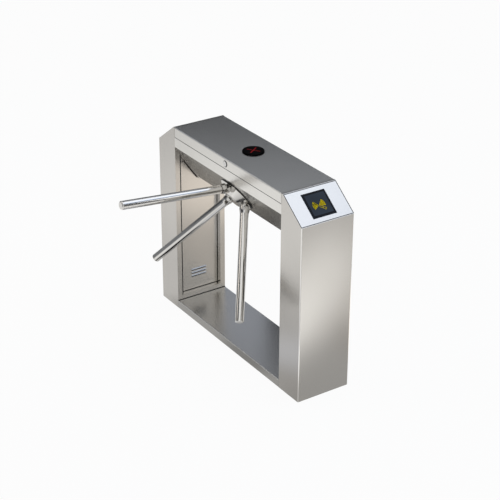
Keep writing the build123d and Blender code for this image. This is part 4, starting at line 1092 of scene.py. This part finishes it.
@dataclass(frozen=True)
class SoftBox:
    """One soft lamp of the studio."""

    name: str
    place: Triple
    aim: Triple
    wide: float
    high: float
    watts: float
    tint: str = "#FFFFFF"

    def build(self) -> None:
        """Hang the lamp and turn it towards its aim."""
        light = bpy.data.lights.new(self.name, "AREA")
        light.shape = "RECTANGLE"
        light.size = self.wide
        light.size_y = self.high
        light.energy = self.watts
        light.color = srgb(self.tint)[:3]
        lamp = bpy.data.objects.new(self.name, light)
        lamp.location = self.place
        way = Vector(self.aim) - Vector(self.place)
        lamp.rotation_euler = way.to_track_quat("-Z", "Y").to_euler()
        bpy.context.scene.collection.objects.link(lamp)
        LOG.info("lamp %s", self.name)


@dataclass(frozen=True)
class Pool:
    """One soft oval of light or shade on the studio floor, turned in degrees; its core has its full level."""

    x: float
    y: float
    turn: float
    half_long: float
    half_wide: float
    level: float
    tint: str = "#FFFFFF"
    core: float = 0.3

    def colour(self) -> Colour:
        """Return the light of the oval's middle, where 1 is white."""
        return (*(self.level * c for c in srgb(self.tint)[:3]), 1.0)


@dataclass(frozen=True)
class LitFloor(Finish):
    """Studio floor as metal mirrors it: white, with ovals of light and shade that fade into it."""

    pools: tuple[Pool, ...] = ()
    level: float = 0.88

    def surface(self, tree: Tree) -> Socket:
        """Lay the ovals over each other.

        Args:
            tree: its node tree.

        Returns:
            Its shader.
        """
        place = add(tree, "TexCoord").outputs["Object"]
        floor: object = (self.level, self.level, self.level, 1.0)
        for pool in self.pools:
            where = {"Vector": place, "Location": (pool.x, pool.y, 0.0)}
            where["Rotation"] = (0.0, 0.0, math.radians(pool.turn))
            where["Scale"] = (pool.half_long, pool.half_wide, 1.0)
            oval = add(tree, "Mapping", where, vector_type="TEXTURE").outputs["Vector"]
            away = add(tree, "VectorMath", {0: oval}, operation="LENGTH").outputs["Value"]
            fade = {"Value": away, "From Min": 1.0, "From Max": pool.core}
            share = add(tree, "MapRange", fade, interpolation_type="SMOOTHSTEP").outputs["Result"]
            mixed = {FACTOR: share, FIRST: floor, SECOND: pool.colour()}
            floor = add(tree, "Mix", mixed, data_type="RGBA").outputs[BLEND]
        return add(tree, "Emission", {"Color": floor, "Strength": 1.0}).outputs["Emission"]


@dataclass(frozen=True)
class FloorSheet:
    """Round sheet on the paper that only reflections see."""

    radius: float = 3.9
    steps: int = 64
    pools: tuple[Pool, ...] = (
        Pool(-1.15, 0.45, 0, 1.35, 0.7, 0.04, core=0.65),
        Pool(-1.1, -1.2, 0, 1.3, 0.75, 1.15, core=0.5),
        Pool(0.1, -0.42, 0, 0.9, 0.45, 0.66, core=0.2),
        Pool(0.75, -0.72, -33.7, 1.3, 0.26, 1.15, "#F2F6FF"),
        Pool(1.55, 0.55, 53, 2.4, 1.1, 0.36, "#FFFAF6"),
        Pool(1.42, 0.46, 53, 1.6, 0.31, 1.55),
        Pool(0.7, 0.08, 35, 0.5, 0.3, 0.5, core=0.3),
        Pool(0.0, 0.4, 35, 0.75, 0.4, 0.7, "#FFFAF4", 0.5),
        Pool(0.75, 0.8, 40, 0.6, 0.4, 1.7, "#FFF6EC", 0.5),
        Pool(-0.12, -0.17, 0, 0.52, 0.09, 0.6, core=0.6),
        Pool(0.15, -0.17, 0, 0.3, 0.09, 0.4, core=0.2),
    )

    def build(self) -> None:
        """Cut the sheet and lay it on the paper."""
        mesh = bmesh.new()
        angles = [2 * math.pi * i / self.steps for i in range(self.steps)]
        mesh.faces.new([mesh.verts.new((self.radius * math.cos(a), self.radius * math.sin(a), 0)) for a in angles])
        place = Vector((0, 0, CAD_BOX[0].z - PAPER_DROP / 2))
        hang("floor_sheet", mesh, LitFloor("floor_in_reflections", self.pools), place)


@dataclass(frozen=True)
class Curtain:
    """Round curtain along one side of the studio that only reflections see; angles are in degrees from X.

    Its cloth has the low tone up to the height "dark" and the high tone at its top.
    """

    name: str
    start: float
    sweep: float
    height: float
    radius: float = 4.0
    low: str = "#101012"
    high: str = "#EAF0FA"
    dark: float = 2.35
    foot: float = 0.0
    steps: int = 40

    def build(self) -> None:
        """Hang the curtain."""
        mesh = bmesh.new()
        rows = []
        for i in range(self.steps + 1):
            angle = math.radians(self.start + self.sweep * i / self.steps)
            x, y = self.radius * math.cos(angle), self.radius * math.sin(angle)
            rows.append([mesh.verts.new((x, y, z)) for z in (self.foot, self.height)])
        for (a, b), (c, d) in zip(rows, rows[1:]):
            mesh.faces.new((a, c, d, b))
        cloth = StudioCloth(f"cloth_of_{self.name}", self.low, self.high, self.dark, self.height)
        hang(self.name, mesh, cloth, Vector())


@dataclass(frozen=True)
class Card:
    """Small card on a stand, tipped up from lying flat and turned about Z, that only reflections see."""

    name: str
    middle: Triple
    wide: float
    high: float
    tone: str
    tip: float
    turn: float = 0.0
    level: float = 1.0

    def build(self) -> None:
        """Cut the card and place it."""
        turn, tip = math.radians(self.turn), math.radians(self.tip)
        mesh = bmesh.new()
        mesh.faces.new([mesh.verts.new((i * self.wide / 2, j * self.high / 2, 0)) for i, j in SQUARE[:-1]])
        mesh.transform(Matrix.Rotation(turn, 4, "Z") @ Matrix.Rotation(tip, 4, "X"))
        cloth = StudioCloth(f"cloth_of_{self.name}", self.tone, self.tone, 0.0, self.high, self.level)
        hang(self.name, mesh, cloth, Vector(self.middle))


@dataclass(frozen=True)
class Studio:
    """White paper, soft light, what the metal mirrors, and the camera at the photograph's view."""

    floor_half: float = 30.0
    azimuth: float = 56.34
    elevation: float = 26.81
    roll: float = 0.24
    distance: float = 6.6745
    target: Triple = (0.0, 0.0, 0.5)
    picture_px: float = 500.0
    focal_px: float = 1413.56
    centre_px: Pair = (250.63, 245.91)
    sensor_mm: float = 36.0
    clip_end: float = 100.0
    room: str = "#C9CBCE"
    props: tuple[SoftBox | Curtain | Card | FloorSheet, ...] = (
        # Place, aim, width, height, watts and tint.
        SoftBox("overhead_box", (0.9, 1.1, 3.0), (0.3, 0.0, 0.6), 2.4, 2.4, 11.0, "#C4DAFF"),
        SoftBox("front_box", (-1.6, -2.6, 2.6), (0.0, 0.0, 0.6), 1.6, 1.6, 10.0, "#FFF8F0"),
        # Start, sweep, height, radius, low and high tone.
        Curtain("back_curtain", 80.0, 220.0, 4.2),
        Curtain("high_curtain", 105.0, 60.0, 6.0, low="#3A3C40", high="#3A3C40", foot=4.2),
        Curtain("front_left_curtain", 185.0, 90.0, 1.3, 3.95, "#84868A", "#84868A"),
        Curtain("left_curtain", 205.0, 80.0, 5.4, 3.9, "#4A4C50", "#4A4C50", foot=1.3),
        Curtain("right_curtain", 5.0, 75.0, 5.0, low="#505256", high="#6C7074", dark=1.6),
        # Middle, width, height, tone, tip, turn and level.
        Card("low_card", (-1.0, 0.48, 0.5), 0.9, 0.8, "#B4BAC6", 90.0),
        Card("arm_flag", (-0.14, -0.34, 0.16), 0.3, 0.24, "#202022", 0.0),
        Card("corner_card", (1.83, 1.48, 1.45), 1.5, 1.3, "#FFFFFF", 90.0, 123.7, 1.5),
        FloorSheet(),
    )

    def floor(self) -> None:
        """Lay the paper."""
        mesh = bmesh.new()
        bmesh.ops.create_grid(mesh, x_segments=1, y_segments=1, size=self.floor_half)
        paper = cut("floor", mesh, PaperSweep("paper_sweep_white"))
        paper.location.z = CAD_BOX[0].z - PAPER_DROP

    def world(self) -> None:
        """Set the room: white where it is seen, and a plain pale light on everything else."""
        world = bpy.data.worlds.new("studio")
        bpy.context.scene.world = world
        world.use_nodes = True
        tree = world.node_tree
        tree.nodes.clear()
        mixed = {FACTOR: seen_rays(tree), FIRST: srgb(self.room), SECOND: srgb("#FFFFFF")}
        shown = add(tree, "Mix", mixed, data_type="RGBA").outputs[BLEND]
        light = add(tree, "Background", {"Color": shown, "Strength": 1.0}).outputs["Background"]
        add(tree, "OutputWorld", {"Surface": light})

    def camera(self) -> None:
        """Place the camera that was fitted to the photograph."""
        data = bpy.data.cameras.new("photo_view")
        data.sensor_width = self.sensor_mm
        data.lens = self.focal_px * self.sensor_mm / self.picture_px
        data.shift_x = 0.5 - self.centre_px[0] / self.picture_px
        data.shift_y = self.centre_px[1] / self.picture_px - 0.5
        data.clip_end = self.clip_end
        camera = bpy.data.objects.new("photo_view", data)
        a, e = math.radians(self.azimuth), math.radians(self.elevation)
        back = Vector((math.sin(a) * math.cos(e), -math.cos(a) * math.cos(e), math.sin(e)))
        camera.location = Vector(self.target) + back * self.distance
        turn = (-back).to_track_quat("-Z", "Y").to_matrix().to_4x4()
        camera.rotation_euler = (turn @ Matrix.Rotation(math.radians(self.roll), 4, "Z")).to_euler()
        bpy.context.scene.collection.objects.link(camera)
        bpy.context.scene.camera = camera

    def build(self) -> None:
        """Build the whole studio."""
        bpy.context.scene.view_settings.view_transform = "Standard"
        self.floor()
        self.world()
        for prop in self.props:
            prop.build()
        self.camera()


def main() -> None:
    """Dress every sub-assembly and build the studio."""
    logging.basicConfig(level=logging.INFO, format="%(message)s")
    for part in (Cabinet(), Readers(), Doors(), Lid(), Tripod(), Mechanism(), Electronics()):
        LOG.info("%s", type(part).__name__)
        part.dress()
    Studio().build()


if __name__ == "__main__":
    main()
